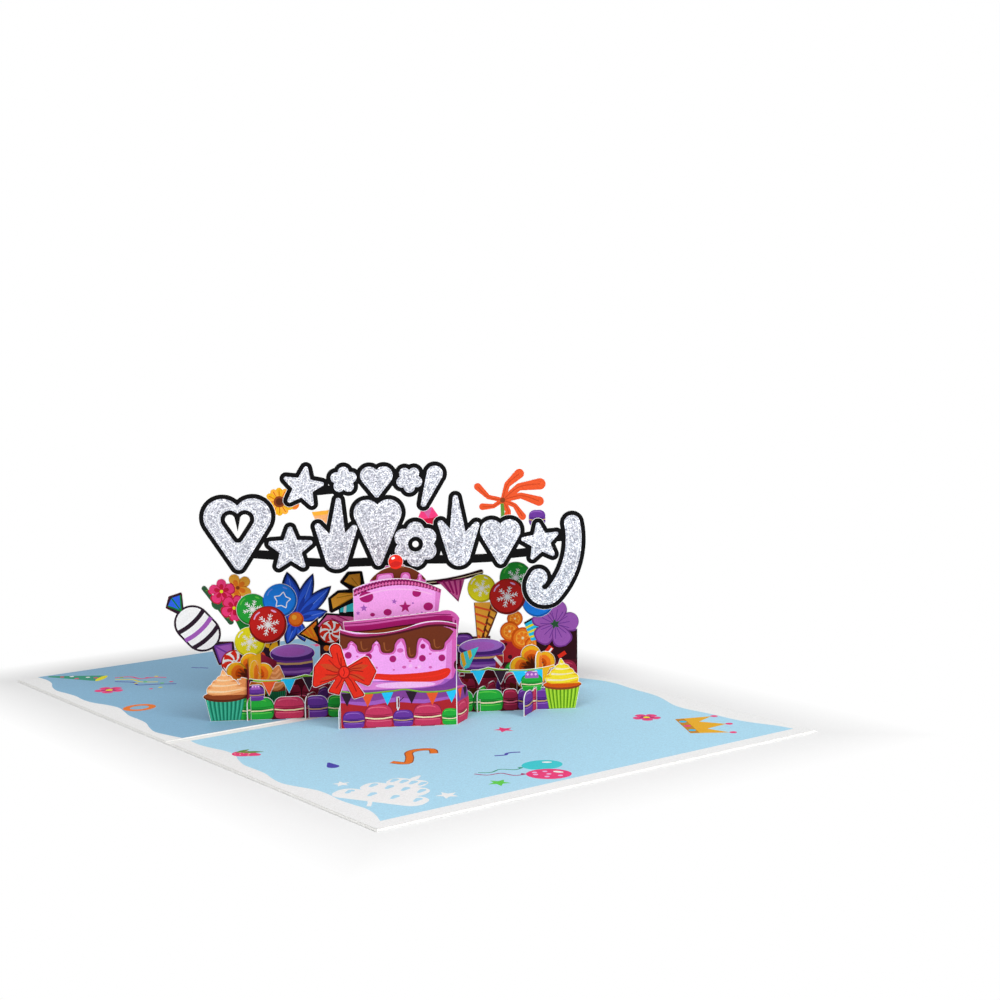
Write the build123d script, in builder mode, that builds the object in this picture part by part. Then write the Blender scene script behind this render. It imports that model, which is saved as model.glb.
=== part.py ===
from build123d import *
import os
from math import acos, atan2, cos, hypot, radians, sin, tan

os.makedirs("parts", exist_ok=True)

# A pop up card, opened flat. X runs along the fold, Y across it (plus Y is the far panel) and Z is up.
# The origin is the middle of the fold on the underside. The pop-up is a grid of die-cut sheets on edge:
# facing sheets run one way, crossing sheets the other way, both at the same angle to the fold.

# Base
fold_length = 210.0
panel_width = 148.5
cover_thickness = 0.4
lining_thickness = 0.3
lining_inset = 0.6
bare_strip = 5.5
crease_width = 1.2
crease_depth = 0.15

# Die-cut sheets and how they fit
sheet = 0.4
play = 0.15
grid_angle = 31.0
pitch = 21.0
weave = 5.0
end_weave = 9.5
foot_width = 6.0

# Places of the facing sheets, counted away from the viewer
tier_step = 7.0
cake_top_step = 3.5
flower_step = 9.0

# Heights of what repeats
macaron_row = 9.4
cross_row = 10.0
string_width = 1.1
flag_width = 6.2
flag_length = 6.6
cup_height = 10.4
cupcake_width = 18.0
cupcake_height = 21.6

# Ornament
ornament_border = 2.0
glitter_thickness = 0.3
tail_stroke = 6.8

turn = radians(grid_angle)
seat = cover_thickness + lining_thickness
slot_width = sheet / sin(2 * turn) + sheet / tan(2 * turn) + 2 * play

front = -2 * pitch
frosting = front + tier_step
upper = front + 2 * tier_step
wing = -pitch
cake_top = wing - cake_top_step
flower = wing + flower_step
middle = 0.0
back = pitch
ornament = middle - sheet
glitter = ornament - sheet / 2 - glitter_thickness / 2


def facing_plane(away):
    """Upright plane of a facing sheet, at its distance behind the card's centre."""
    return Plane(
        origin=(away * sin(turn), away * cos(turn), seat),
        x_dir=(cos(turn), -sin(turn), 0),
        z_dir=(-sin(turn), -cos(turn), 0),
    )


def crossing_plane(across):
    """Upright plane of a crossing sheet, at its distance to the far left of the card's centre."""
    return Plane(
        origin=(-across * sin(turn), across * cos(turn), seat),
        x_dir=(cos(turn), sin(turn), 0),
        z_dir=(sin(turn), -cos(turn), 0),
    )


def on_facing(away, across):
    """Where a crossing sheet meets a facing sheet, measured along the facing sheet."""
    return away / tan(2 * turn) - across / sin(2 * turn)


def on_crossing(away, across):
    """Where a facing sheet meets a crossing sheet, measured along the crossing sheet."""
    return away / sin(2 * turn) - across / tan(2 * turn)


def facing_stations(away, numbers):
    """Meeting places of the numbered crossing sheets along a facing sheet."""
    return [on_facing(away, number * pitch) for number in numbers]


def between(stations):
    """Middles of the bays between neighbouring meeting places."""
    ordered = sorted(stations)
    return [(a + b) / 2 for a, b in zip(ordered, ordered[1:])]


# Outline pieces. Each is drawn into the sketch that is open when it is called.


def disc(x, y, radius, mode=Mode.ADD):
    """Round spot."""
    with Locations((x, y)):
        Circle(radius, mode=mode)


def block(left, right, bottom, top, mode=Mode.ADD):
    """Rectangle between four edges."""
    with Locations(((left + right) / 2, (bottom + top) / 2)):
        Rectangle(right - left, top - bottom, mode=mode)


def taper(x0, y0, r0, x1, y1, r1, mode=Mode.ADD):
    """Rounded stroke that goes from one end circle to another with straight tangents."""
    along = atan2(y1 - y0, x1 - x0)
    lean = acos((r0 - r1) / hypot(x1 - x0, y1 - y0))
    corners = []
    for side, order in ((1, (0, 1)), (-1, (1, 0))):
        ends = ((x0, y0, r0), (x1, y1, r1))
        for k in order:
            x, y, r = ends[k]
            corners.append((x + r * cos(along + side * lean), y + r * sin(along + side * lean)))
    Polygon(*corners, align=None, mode=mode)
    disc(x0, y0, r0, mode)
    disc(x1, y1, r1, mode)


def band(points, width):
    """Strip of even width along one arc through three points."""
    with BuildLine() as path:
        ThreePointArc(*points)
        offset(amount=width / 2)
    make_face(path.edges())


def heart(x, y, lobe, tip, drop, grow=0.0, mode=Mode.ADD):
    """Heart with round lobes and a rounded tip that lies below the lobes' middles by drop."""
    for side in (-1, 1):
        taper(x + side * 0.8 * lobe, y, lobe + grow, x, y - drop, tip + grow, mode)


def star(x, y, size, grow=0.0, points=5, start=90.0):
    """Star with rounded tips; size is the distance of the tips from its middle."""
    for k in range(points):
        angle = radians(start + k * 360 / points)
        tip = 0.9 * size
        taper(x, y, 0.42 * size + grow, x + tip * cos(angle), y + tip * sin(angle), 0.1 * size + grow)


def plume(x, y, lean, grow=0.0):
    """Three flames that rise from one round foot; the tall one leans to one side."""
    taper(x, y, 4.8 + grow, x + 1.2 * lean, y + 24.4, 1.1 + grow)
    for side, rise in ((-1, 13.6), (1, 12.6)):
        taper(x, y, 4.8 + grow, x + side * 7.6, y + rise, 1.3 + grow)


def fan(x, y, radius, ends):
    """Broad wing from a round middle to several end circles, filled between them."""
    for end in ends:
        taper(x, y, radius, *end)
    for first, second in zip(ends, ends[1:]):
        taper(*first, *second)
        Polygon((x, y), first[:2], second[:2], align=None)


def petal(x0, y0, x1, y1, belly):
    """Pointed leaf between two points; belly is half of its greatest breadth."""
    length = hypot(x1 - x0, y1 - y0)
    aside = (belly * (y0 - y1) / length, belly * (x1 - x0) / length)
    halfway = ((x0 + x1) / 2, (y0 + y1) / 2)
    with BuildLine() as outline:
        ThreePointArc((x0, y0), (halfway[0] + aside[0], halfway[1] + aside[1]), (x1, y1))
        ThreePointArc((x1, y1), (halfway[0] - aside[0], halfway[1] - aside[1]), (x0, y0))
    make_face(outline.edges())


def bloom(x, y, heart_radius, reach, petal, count, start=0.0):
    """Flower with equal rounded petals about its middle."""
    for k in range(count):
        angle = radians(start + k * 360 / count)
        taper(x, y, heart_radius, x + reach * cos(angle), y + reach * sin(angle), petal)


def macaron(left, right, bottom, top):
    """Outline of a macaron seen from the side: a low rounded loaf."""
    with Locations(((left + right) / 2, (bottom + top) / 2)):
        RectangleRounded(right - left, top - bottom, 0.36 * min(right - left, top - bottom))


def large_macaron(left, right, bottom, top):
    """Macaron with a wide oval upper shell on a narrower lower one."""
    dome = 4.2
    with Locations(((left + right) / 2, top - dome)):
        Ellipse((right - left) / 2, dome)
    macaron(left + 0.8, right - 0.8, bottom, top - dome)


def macaron_band(edges, height):
    """Row of macarons side by side over one straight foot."""
    for left, right in zip(edges, edges[1:]):
        macaron(left, right, 0, height)
    block(edges[0], edges[-1], 0, 0.6 * height)


def cupcake(centre, width, height):
    """Pleated cup with a rim of cake and a swirl of cream."""
    Polygon(
        (centre - 0.34 * width, 0),
        (centre + 0.34 * width, 0),
        (centre + 0.46 * width, cup_height),
        (centre - 0.46 * width, cup_height),
        align=None,
    )
    with Locations((centre, cup_height)):
        Ellipse(width / 2, 0.13 * width)
    cream = height - cup_height
    for half, rise, round_end in ((0.26, 0.22, 0.25), (0.17, 0.42, 0.22), (0.08, 0.6, 0.18)):
        level = cup_height + rise * cream
        taper(centre - half * width, level, round_end * cream, centre + half * width, level, round_end * cream)
    taper(centre, cup_height + 0.6 * cream, 0.2 * cream, centre - 0.03 * width, height - 0.05 * cream, 0.05 * cream)


def flag(x, y, width=flag_width, length=flag_length):
    """Pennant that hangs by its top edge."""
    Polygon((x - width / 2, y), (x + width / 2, y), (x, y - length), align=None)


def slots_up(stations, top):
    """Slots from the foot of a facing sheet."""
    for station in stations:
        block(station - slot_width / 2, station + slot_width / 2, -1.0, top + play, Mode.SUBTRACT)


def feet(stations):
    """Tongues that go through the lining and rest on the cover."""
    for station in stations:
        block(station - foot_width / 2, station + foot_width / 2, -lining_thickness, 0)


# Which crossing sheets, counted by their number, each facing sheet meets
front_numbers = (0, -1, -2)
wing_numbers = (2, 1, 0, -1, -2, -3)
middle_numbers = (3, 2, 1, 0, -1, -2, -3)
back_numbers = (3, 2, 1, 0, -1, -2)

front_stations = facing_stations(front, front_numbers)
wing_stations = facing_stations(wing, wing_numbers)
middle_stations = facing_stations(middle, middle_numbers)
back_stations = facing_stations(back, back_numbers)
frosting_station = on_facing(frosting, -pitch)
upper_station = on_facing(upper, -pitch)
cake_top_station = on_facing(cake_top, -pitch)
left_flower_station = on_facing(flower, 2 * pitch)
right_flower_station = on_facing(flower, -3 * pitch)

# Feet of the facing sheets: distance of the sheet, then places along it
facing_feet = {
    front: between(front_stations),
    frosting: [frosting_station - 11.0, frosting_station + 11.0],
    upper: [upper_station - foot_width, upper_station + foot_width],
    cake_top: [cake_top_station - foot_width - 2.0],
    wing: between(wing_stations),
    flower: [left_flower_station - foot_width, right_flower_station - foot_width],
    middle: between(middle_stations),
    back: between(back_stations),
}

# Crossing sheets: number, nearest and farthest facing sheet that each meets, and how far its ends stand out
nose_macaron = 13.5
end_reach = 2.0
cross_spans = {
    3: ([middle, back], end_reach, end_reach),
    2: ([wing, flower, middle, back], end_reach, end_reach),
    1: ([wing, middle, back], end_reach, end_reach),
    0: ([wing, middle, back], None, end_reach),
    -1: ([frosting, upper, cake_top, wing, middle, back], None, end_reach),
    -2: ([wing, middle, back], end_reach, end_reach),
    -3: ([wing, flower, middle], nose_macaron, end_reach),
}

crossing_feet = {
    3: between([on_crossing(away, 3 * pitch) for away in (middle, back)]),
    2: between([on_crossing(away, 2 * pitch) for away in (wing, middle, back)]),
    1: between([on_crossing(away, pitch) for away in (wing, middle, back)]),
    0: between([on_crossing(away, 0.0) for away in (front, wing, middle, back)]),
    -1: between([on_crossing(away, -pitch) for away in (front, wing, middle, back)]),
    -2: between([on_crossing(away, -2 * pitch) for away in (wing, middle, back)]),
    -3: between([on_crossing(away, -3 * pitch) for away in (wing, middle)]),
}


# Base: the folded cover and the two printed linings with slits for the feet

with BuildPart() as cover:
    with BuildSketch():
        Rectangle(fold_length, 2 * panel_width)
    extrude(amount=cover_thickness)
    with BuildSketch(Plane.YZ.offset(-fold_length / 2)):
        Polygon(
            (-crease_width / 2, cover_thickness),
            (0, cover_thickness - crease_depth),
            (crease_width / 2, cover_thickness),
            align=None,
        )
    extrude(amount=fold_length, mode=Mode.SUBTRACT)
cover.part.label = "cover"
export_step(cover.part, "parts/cover.step")


def foot_slits():
    """Slits of all the feet, drawn into a sketch on top of the cover."""
    for away, stations in facing_feet.items():
        for station in stations:
            x = away * sin(turn) + station * cos(turn)
            y = away * cos(turn) - station * sin(turn)
            with Locations(Location((x, y, 0), (0, 0, -grid_angle))):
                Rectangle(foot_width + 2 * play, sheet + 2 * play, mode=Mode.SUBTRACT)
    for number, stations in crossing_feet.items():
        for station in stations:
            x = -number * pitch * sin(turn) + station * cos(turn)
            y = number * pitch * cos(turn) + station * sin(turn)
            with Locations(Location((x, y, 0), (0, 0, grid_angle))):
                Rectangle(foot_width + 2 * play, sheet + 2 * play, mode=Mode.SUBTRACT)


def lining_face(side):
    """Sheet glued on one panel; side is 1 on the far panel and -1 on the near one."""
    inner = bare_strip / 2
    outer = panel_width - lining_inset
    with Locations((0, side * (inner + outer) / 2)):
        Rectangle(fold_length - 2 * lining_inset, outer - inner)
    foot_slits()


with BuildPart() as near_lining:
    with BuildSketch(Plane.XY.offset(cover_thickness)):
        lining_face(-1)
    extrude(amount=lining_thickness)
near_lining.part.label = "near_lining"
export_step(near_lining.part, "parts/near_lining.step")

with BuildPart() as far_lining:
    with BuildSketch(Plane.XY.offset(cover_thickness)):
        lining_face(1)
    extrude(amount=lining_thickness)
far_lining.part.label = "far_lining"
export_step(far_lining.part, "parts/far_lining.step")


# Front slice: stage wall and lower cake tier in one sheet, folded back along its right side

stage_height = 15.6
tier_left_top = 41.0
tier_low_top = 39.0
tier_right_top = 42.8
tongue_bottom = 8.0
tongue_top = 12.2
flap_foot = 10.5
fold_line = max(front_stations)
front_left = min(front_stations) + slot_width / 2

with BuildPart() as front_slice:
    with BuildSketch(facing_plane(front)):
        block(front_left, fold_line, 0, stage_height)
        with BuildLine():
            Polyline(
                (fold_line, stage_height - 1),
                (front_left, stage_height - 1),
                (front_left + 0.3, tier_left_top),
            )
            ThreePointArc(
                (front_left + 0.3, tier_left_top),
                (front_left + 10.5, tier_low_top),
                (fold_line - 16.0, tier_right_top - 0.8),
            )
            ThreePointArc(
                (fold_line - 16.0, tier_right_top - 0.8),
                (fold_line - 7.0, tier_right_top + 0.3),
                (fold_line + 0.6, tier_right_top - 1.2),
            )
            Line((fold_line + 0.6, tier_right_top - 1.2), (fold_line, stage_height - 1))
        make_face()
        tongue_station = on_facing(front, -pitch)
        block(tongue_station - slot_width / 2, tongue_station + slot_width / 2,
              tongue_bottom - play, tongue_top + play, Mode.SUBTRACT)
        feet(facing_feet[front])
    extrude(amount=sheet / 2, both=True)
    fold_station = on_crossing(front, -2 * pitch)
    with BuildSketch(crossing_plane(-2 * pitch)):
        with BuildLine():
            Polyline((fold_station, 26.0), (fold_station, 0), (fold_station + flap_foot, 0))
            ThreePointArc(
                (fold_station + flap_foot, 0),
                (fold_station + flap_foot + 2.0, 7.5),
                (fold_station + flap_foot - 1.2, 14.5),
            )
            ThreePointArc(
                (fold_station + flap_foot - 1.2, 14.5),
                (fold_station + 3.0, 18.6),
                (fold_station, 26.0),
            )
        make_face()
    extrude(amount=sheet / 2, both=True)
    with BuildSketch(Plane.XY.offset(seat)):
        disc(0, front / cos(turn), sheet / 2)
    extrude(amount=26.0)
front_slice.part.label = "front_slice"
export_step(front_slice.part, "parts/front_slice.step")


# Bow glued on the front slice over its left edge

bow_x = front_left + 1.8
bow_y = 23.4
bow_left_wing = ((-7.0, 6.2, 1.8), (-10.8, 2.2, 1.4), (-11.4, -4.4, 1.5))
bow_right_wing = ((8.6, 4.4, 2.0), (11.6, 0.0, 1.6), (9.4, -4.6, 1.5))
bow_left_tail = ((-5.6, -7.4, 1.0), (-2.4, -8.6, 0.8))
bow_right_tail = ((7.2, -9.4, 1.0), (4.0, -10.4, 0.8))

with BuildPart() as bow:
    with BuildSketch(facing_plane(front - sheet)):
        for ends in (bow_left_wing, bow_right_wing, bow_left_tail, bow_right_tail):
            fan(bow_x, bow_y, 1.5, [(bow_x + x, bow_y + y, radius) for x, y, radius in ends])
        taper(bow_x, bow_y, 2.0, bow_x - 3.2, bow_y + 9.4, 2.6)
        disc(bow_x, bow_y, 2.6)
    extrude(amount=sheet / 2, both=True)
bow.part.label = "bow"
export_step(bow.part, "parts/bow.step")


# The cake's frosting, upper tier and top, each a sheet behind the other

frosting_left, frosting_right = -19.9, 27.6
frosting_foot = (-15.0, 26.0)

with BuildPart() as frosting_slice:
    with BuildSketch(facing_plane(frosting)):
        block(frosting_foot[0], frosting_foot[1], 0, 38.0)
        with BuildLine():
            Polyline((frosting_left + 1.0, 35.0), (frosting_left, 42.6))
            ThreePointArc(
                (frosting_left, 42.6), (frosting_left + 14.0, 43.6), (frosting_right - 8.0, 45.8)
            )
            ThreePointArc(
                (frosting_right - 8.0, 45.8), (frosting_right - 2.4, 45.4), (frosting_right, 42.6)
            )
            Polyline((frosting_right, 42.6), (frosting_right - 1.0, 35.0), (frosting_left + 1.0, 35.0))
        make_face()
        slots_up([frosting_station], weave)
        feet(facing_feet[frosting])
    extrude(amount=sheet / 2, both=True)
frosting_slice.part.label = "frosting_slice"
export_step(frosting_slice.part, "parts/frosting_slice.step")

upper_left, upper_right = -15.4, 20.9

with BuildPart() as upper_tier_slice:
    with BuildSketch(facing_plane(upper)):
        block(-10.5, 18.0, 0, 38.0)
        with BuildLine():
            Polyline((upper_left + 0.2, 36.0), (upper_left, 54.8))
            ThreePointArc((upper_left, 54.8), (upper_left + 18.0, 58.6), (upper_right, 53.6))
            Polyline((upper_right, 53.6), (upper_right - 2.6, 36.0), (upper_left + 0.2, 36.0))
        make_face()
        slots_up([upper_station], weave)
        feet(facing_feet[upper])
    extrude(amount=sheet / 2, both=True)
upper_tier_slice.part.label = "upper_tier_slice"
export_step(upper_tier_slice.part, "parts/upper_tier_slice.step")

with BuildPart() as cake_top_slice:
    with BuildSketch(facing_plane(cake_top)):
        block(-8.4, 14.8, 0, 57.5)
        with BuildLine():
            ThreePointArc((-8.4, 57.5), (3.4, 63.4), (14.8, 57.5))
            Line((14.8, 57.5), (-8.4, 57.5))
        make_face()
        disc(2.4, 65.0, 3.1)
        slots_up([cake_top_station], weave)
        feet(facing_feet[cake_top])
    extrude(amount=sheet / 2, both=True)
cake_top_slice.part.label = "cake_top_slice"
export_step(cake_top_slice.part, "parts/cake_top_slice.step")


# Wing slice: macarons below, bunting above and a cupcake at each end

left_cupcake = -68.6
right_cupcake = 71.6
left_string = [((-61.5, 17.6), (-50.0, 16.0), (-35.5, 18.0)), ((-35.5, 18.0), (-28.0, 16.8), (-19.0, 17.6))]
right_string = [((25.0, 18.6), (33.4, 17.2), (40.4, 18.4)), ((40.4, 18.4), (54.0, 16.8), (68.0, 18.4))]

with BuildPart() as wing_slice:
    with BuildSketch(facing_plane(wing)):
        cupcake(left_cupcake, cupcake_width, cupcake_height)
        cupcake(right_cupcake, cupcake_width - 1.4, cupcake_height)
        macaron_band((left_cupcake + 5.0, -48.7, -36.2, -26.5, -20.0), macaron_row)
        macaron_band((25.0, 34.0, 46.5, 52.8, 59.0, right_cupcake - 5.0), macaron_row)
        block(-21.0, 26.0, 0, 18.4)
        for sag in left_string + right_string:
            band(sag, string_width)
        for x, y in ((-60.4, 17.4), (-50.5, 16.4), (-42.3, 17.2), (-34.0, 17.8)):
            flag(x, y)
        for x, y in ((36.4, 18.0), (45.6, 17.8), (53.4, 17.2), (63.4, 17.6)):
            flag(x, y)
        macaron(-59.6, -52.4, 8.0, 14.8)
        macaron(54.2, 63.2, 8.0, 16.4)
        block(-62.4, -57.6, 0, 13.0)
        block(58.6, 62.0, 0, 14.0)
        slots_up([wing_stations[0], wing_stations[-1]], end_weave)
        slots_up(wing_stations[1:-1], weave)
        feet(facing_feet[wing])
    extrude(amount=sheet / 2, both=True)
wing_slice.part.label = "wing_slice"
export_step(wing_slice.part, "parts/wing_slice.step")


# Flower slices behind the bunting

with BuildPart() as left_flower_slice:
    with BuildSketch(facing_plane(flower)):
        block(left_flower_station - 9.5, left_flower_station + 8.0, 0, 11.0)
        bloom(left_flower_station - 4.6, 16.4, 3.8, 5.8, 4.2, 5, 86)
        taper(left_flower_station + 6.2, 9.0, 4.2, left_flower_station + 6.2, 15.4, 3.6)
        taper(left_flower_station + 6.2, 15.4, 3.6, left_flower_station + 7.2, 20.0, 0.9)
        slots_up([left_flower_station], weave)
        feet([left_flower_station - foot_width])
    extrude(amount=sheet / 2, both=True)
left_flower_slice.part.label = "left_flower_slice"
export_step(left_flower_slice.part, "parts/left_flower_slice.step")

with BuildPart() as right_flower_slice:
    with BuildSketch(facing_plane(flower)):
        block(right_flower_station - 11.5, right_flower_station + 3.0, 0, 11.0)
        bloom(right_flower_station - 4.4, 16.0, 4.0, 5.8, 4.3, 5, 100)
        slots_up([right_flower_station], weave)
        feet([right_flower_station - foot_width])
    extrude(amount=sheet / 2, both=True)
right_flower_slice.part.label = "right_flower_slice"
export_step(right_flower_slice.part, "parts/right_flower_slice.step")


# Middle slice: large macarons and the riser that carries the ornament

middle_end = 74.5
middle_row = 11.0
riser_left, riser_right, riser_top = -1.0, 10.0, 65.5

with BuildPart() as middle_slice:
    with BuildSketch(facing_plane(middle)):
        row = [-middle_end + k * middle_end / 6 for k in range(13)]
        macaron_band(row, middle_row)
        large_macaron(-50.2, -31.2, 13.6, 27.3)
        block(-48.0, -33.4, 4.0, 15.0)
        large_macaron(29.8, 50.0, 13.6, 27.0)
        block(32.2, 47.6, 4.0, 15.0)
        Polygon((riser_left - 10.0, 4.0), (riser_right + 10.0, 4.0), (riser_right, 40.0), (riser_right, riser_top),
                (riser_left, riser_top), (riser_left, 40.0), align=None)
        slots_up(middle_stations, weave)
        feet(facing_feet[middle])
    extrude(amount=sheet / 2, both=True)
middle_slice.part.label = "middle_slice"
export_step(middle_slice.part, "parts/middle_slice.step")


# Back slice: wrapped sweet, flags, sweets, cones, hat and the dark panel in one outline

back_left, back_right = -68.0, 84.6
back_row = 12.0

with BuildPart() as back_slice:
    with BuildSketch(facing_plane(back)):
        block(back_left, back_right, 0, back_row)
        # wrapped sweet that leans out to the left, with a fan at each end, and a round sweet below it
        taper(-83.4, 33.6, 8.0, -79.2, 28.8, 8.0)
        fan(-88.4, 38.8, 1.7, ((-94.0, 40.8, 0.7), (-92.6, 45.0, 0.9), (-88.0, 46.6, 0.7)))
        fan(-74.2, 23.6, 1.7, ((-66.6, 24.4, 0.8), (-66.2, 18.6, 0.9), (-72.2, 15.4, 0.8)))
        disc(-66.0, 15.6, 5.8)
        block(-63.0, -46.0, 8.0, 26.0)
        # flags, a round sweet, a ribbon and a box left of the cake
        Polygon((-38.4, 27.2), (-29.4, 34.6), (-28.8, 22.0), align=None)
        Polygon((-31.0, 30.0), (-26.0, 36.4), (-12.0, 35.0), (-12.0, 26.0), (-28.0, 22.0), align=None)
        disc(-24.0, 28.0, 5.4)
        block(-29.0, -8.0, 8.0, 26.0)
        block(-20.4, -6.0, 24.0, 44.4)
        fan(-10.4, 44.6, 2.2, ((-23.4, 37.4, 1.2), (-24.0, 42.4, 1.0), (-20.4, 45.2, 1.0)))
        fan(-10.4, 45.0, 2.2, ((-18.6, 49.8, 1.0), (-15.8, 53.2, 1.1), (-10.6, 53.4, 1.0)))
        # column behind the cake and the garland to its right
        block(-8.0, 16.0, 8.0, 49.0)
        band(((12.0, 48.0), (27.0, 49.0), (42.0, 52.4)), 2.4)
        Polygon((22.6, 49.2), (35.2, 50.6), (32.0, 39.2), align=None)
        # cones, slices of fruit, a striped hat and the dark panel with its flower
        Polygon((38.6, 39.0), (47.0, 39.0), (41.8, 20.0), (40.0, 20.0), align=None)
        Polygon((44.2, 39.0), (50.6, 37.6), (43.6, 20.0), (41.2, 20.0), align=None)
        block(38.0, 46.0, 8.0, 24.0)
        macaron(29.6, 38.4, 16.6, 25.8)
        block(31.0, 37.4, 8.0, 18.0)
        disc(54.4, 25.6, 4.4)
        disc(60.2, 22.4, 5.0)
        disc(56.8, 31.2, 3.6)
        block(50.0, 68.0, 8.0, 22.0)
        Polygon((60.6, 29.4), (68.6, 33.8), (70.0, 22.0), (64.0, 21.0), align=None)
        block(66.4, back_right, 8.0, 26.0)
        bloom(74.6, 28.2, 4.0, 6.4, 4.4, 5, 8)
        slots_up(back_stations, weave)
        feet(facing_feet[back])
    extrude(amount=sheet / 2, both=True)
back_slice.part.label = "back_slice"
export_step(back_slice.part, "parts/back_slice.step")


# Balloon clusters glued on the front of the back slice, and flowers glued behind it

left_cluster = ((-57.5, 38.9, 7.0), (-45.6, 42.5, 7.4), (-51.0, 31.9, 8.2), (-59.0, 24.6, 6.7))
right_cluster = ((42.2, 45.2, 6.3), (53.5, 41.1, 8.0), (57.3, 49.4, 7.2), (67.1, 38.8, 7.2))

with BuildPart() as left_balloons:
    with BuildSketch(facing_plane(back - sheet)):
        for x, y, radius in left_cluster:
            disc(x, y, radius)
    extrude(amount=sheet / 2, both=True)
left_balloons.part.label = "left_balloons"
export_step(left_balloons.part, "parts/left_balloons.step")

with BuildPart() as right_balloons:
    with BuildSketch(facing_plane(back - sheet)):
        for x, y, radius in right_cluster:
            disc(x, y, radius)
    extrude(amount=sheet / 2, both=True)
right_balloons.part.label = "right_balloons"
export_step(right_balloons.part, "parts/right_balloons.step")

with BuildPart() as blossoms:
    with BuildSketch(facing_plane(back + sheet)):
        bloom(-70.6, 47.0, 2.2, 3.4, 2.2, 5, 18)
        bloom(-63.6, 48.4, 2.4, 4.0, 2.4, 5, 40)
        bloom(-65.4, 39.6, 2.2, 3.4, 2.2, 5, 60)
        taper(-78.0, 48.6, 1.2, -67.0, 33.6, 1.4)
        taper(-72.0, 42.0, 3.2, -66.0, 44.0, 3.4)
        taper(-66.0, 44.0, 3.4, -60.0, 30.0, 3.0)
    extrude(amount=sheet / 2, both=True)
blossoms.part.label = "blossoms"
export_step(blossoms.part, "parts/blossoms.step")

blue_x, blue_y = -38.9, 33.8
blue_petals = (
    (-42.4, 55.0, 4.4),
    (-31.0, 54.0, 3.2),
    (-23.2, 48.2, 3.4),
    (-25.0, 37.0, 2.8),
    (-35.2, 23.6, 2.6),
    (-43.4, 22.6, 2.8),
    (-52.0, 33.0, 4.0),
)

with BuildPart() as blue_flower:
    with BuildSketch(facing_plane(back + sheet)):
        for x, y, belly in blue_petals:
            petal(blue_x, blue_y, x, y, belly)
        disc(blue_x, blue_y, 3.4)
    extrude(amount=sheet / 2, both=True)
blue_flower.part.label = "blue_flower"
export_step(blue_flower.part, "parts/blue_flower.step")


# Ornament: glitter shapes on one black sheet in two tiers. Each shape is drawn at its own size for the
# glitter and grown by the border for the black sheet.


def big_heart(grow):
    """Large open heart at the left end."""
    heart(-62.2, 82.0, 7.8, 2.0, 20.4, grow)
    heart(-62.2, 81.0, 3.9, 2.4, 7.4, -grow, Mode.SUBTRACT)


def low_star(grow):
    """Star beside the large heart."""
    star(-40.4, 67.8, 9.6, grow)


def left_plume(grow):
    """Flames left of the middle."""
    plume(-21.2, 63.6, 1, grow)


def tall_heart(grow):
    """Tall narrow heart in the middle."""
    heart(-3.6, 82.4, 5.6, 1.6, 21.0, grow)


def ring_flower(grow):
    """Flower with an open middle."""
    bloom(12.2, 68.6, 6.2 + grow, 5.8, 3.8 + grow, 6, 30)
    disc(12.2, 68.6, 3.2 - grow, Mode.SUBTRACT)


def right_plume(grow):
    """Flames right of the middle."""
    plume(30.6, 63.6, -1, grow)


def small_heart(grow):
    """Solid heart at the right."""
    heart(48.4, 73.4, 4.8, 1.6, 12.8, grow)


def end_star(grow):
    """Star near the right end."""
    star(65.6, 68.2, 8.4, grow, start=98.0)


def tail_curl(grow):
    """Sweep that hangs down at the right end and curls up."""
    band(((79.2, 76.0), (78.4, 59.0), (70.6, 45.4)), tail_stroke + 2 * grow)
    band(((70.6, 45.4), (64.0, 45.6), (64.6, 52.8)), tail_stroke + 2 * grow)
    disc(79.2, 76.0, tail_stroke / 2 + grow)
    disc(64.6, 52.8, 0.56 * tail_stroke + grow)


def top_star(grow):
    """Star that starts the upper tier."""
    star(-34.6, 94.0, 8.8, grow, start=80.0)


def top_left_flower(grow):
    """First small flower of the upper tier."""
    bloom(-17.6, 96.6, 3.2 + grow, 3.3, 2.3 + grow, 5, 90)


def top_heart(grow):
    """Heart in the middle of the upper tier."""
    heart(-3.8, 98.2, 3.8, 1.1, 8.2, grow)


def top_right_flower(grow):
    """Second small flower of the upper tier."""
    bloom(10.0, 96.2, 3.2 + grow, 3.3, 2.3 + grow, 5, 54)


def top_drop(grow):
    """Drop that ends the upper tier."""
    taper(20.8, 98.4, 3.4 + grow, 15.8, 85.6, 1.1 + grow)


lower_shapes = {
    "glitter_big_heart": big_heart,
    "glitter_low_star": low_star,
    "glitter_left_plume": left_plume,
    "glitter_tall_heart": tall_heart,
    "glitter_ring_flower": ring_flower,
    "glitter_right_plume": right_plume,
    "glitter_small_heart": small_heart,
    "glitter_end_star": end_star,
    "glitter_tail_curl": tail_curl,
}
upper_shapes = {
    "glitter_top_star": top_star,
    "glitter_top_left_flower": top_left_flower,
    "glitter_top_heart": top_heart,
    "glitter_top_right_flower": top_right_flower,
    "glitter_top_drop": top_drop,
}
black_links = (
    (-58.0, 66.4, -44.0, 65.0),
    (-36.0, 62.4, -24.0, 61.4),
    (-20.0, 61.4, -4.0, 61.6),
    (-3.6, 61.6, 12.0, 62.0),
    (14.0, 62.0, 30.0, 61.6),
    (32.0, 61.6, 48.0, 62.0),
    (49.0, 63.0, 62.0, 64.0),
    (68.0, 70.0, 78.0, 70.0),
    (-32.0, 92.0, -18.0, 93.0),
)

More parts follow.
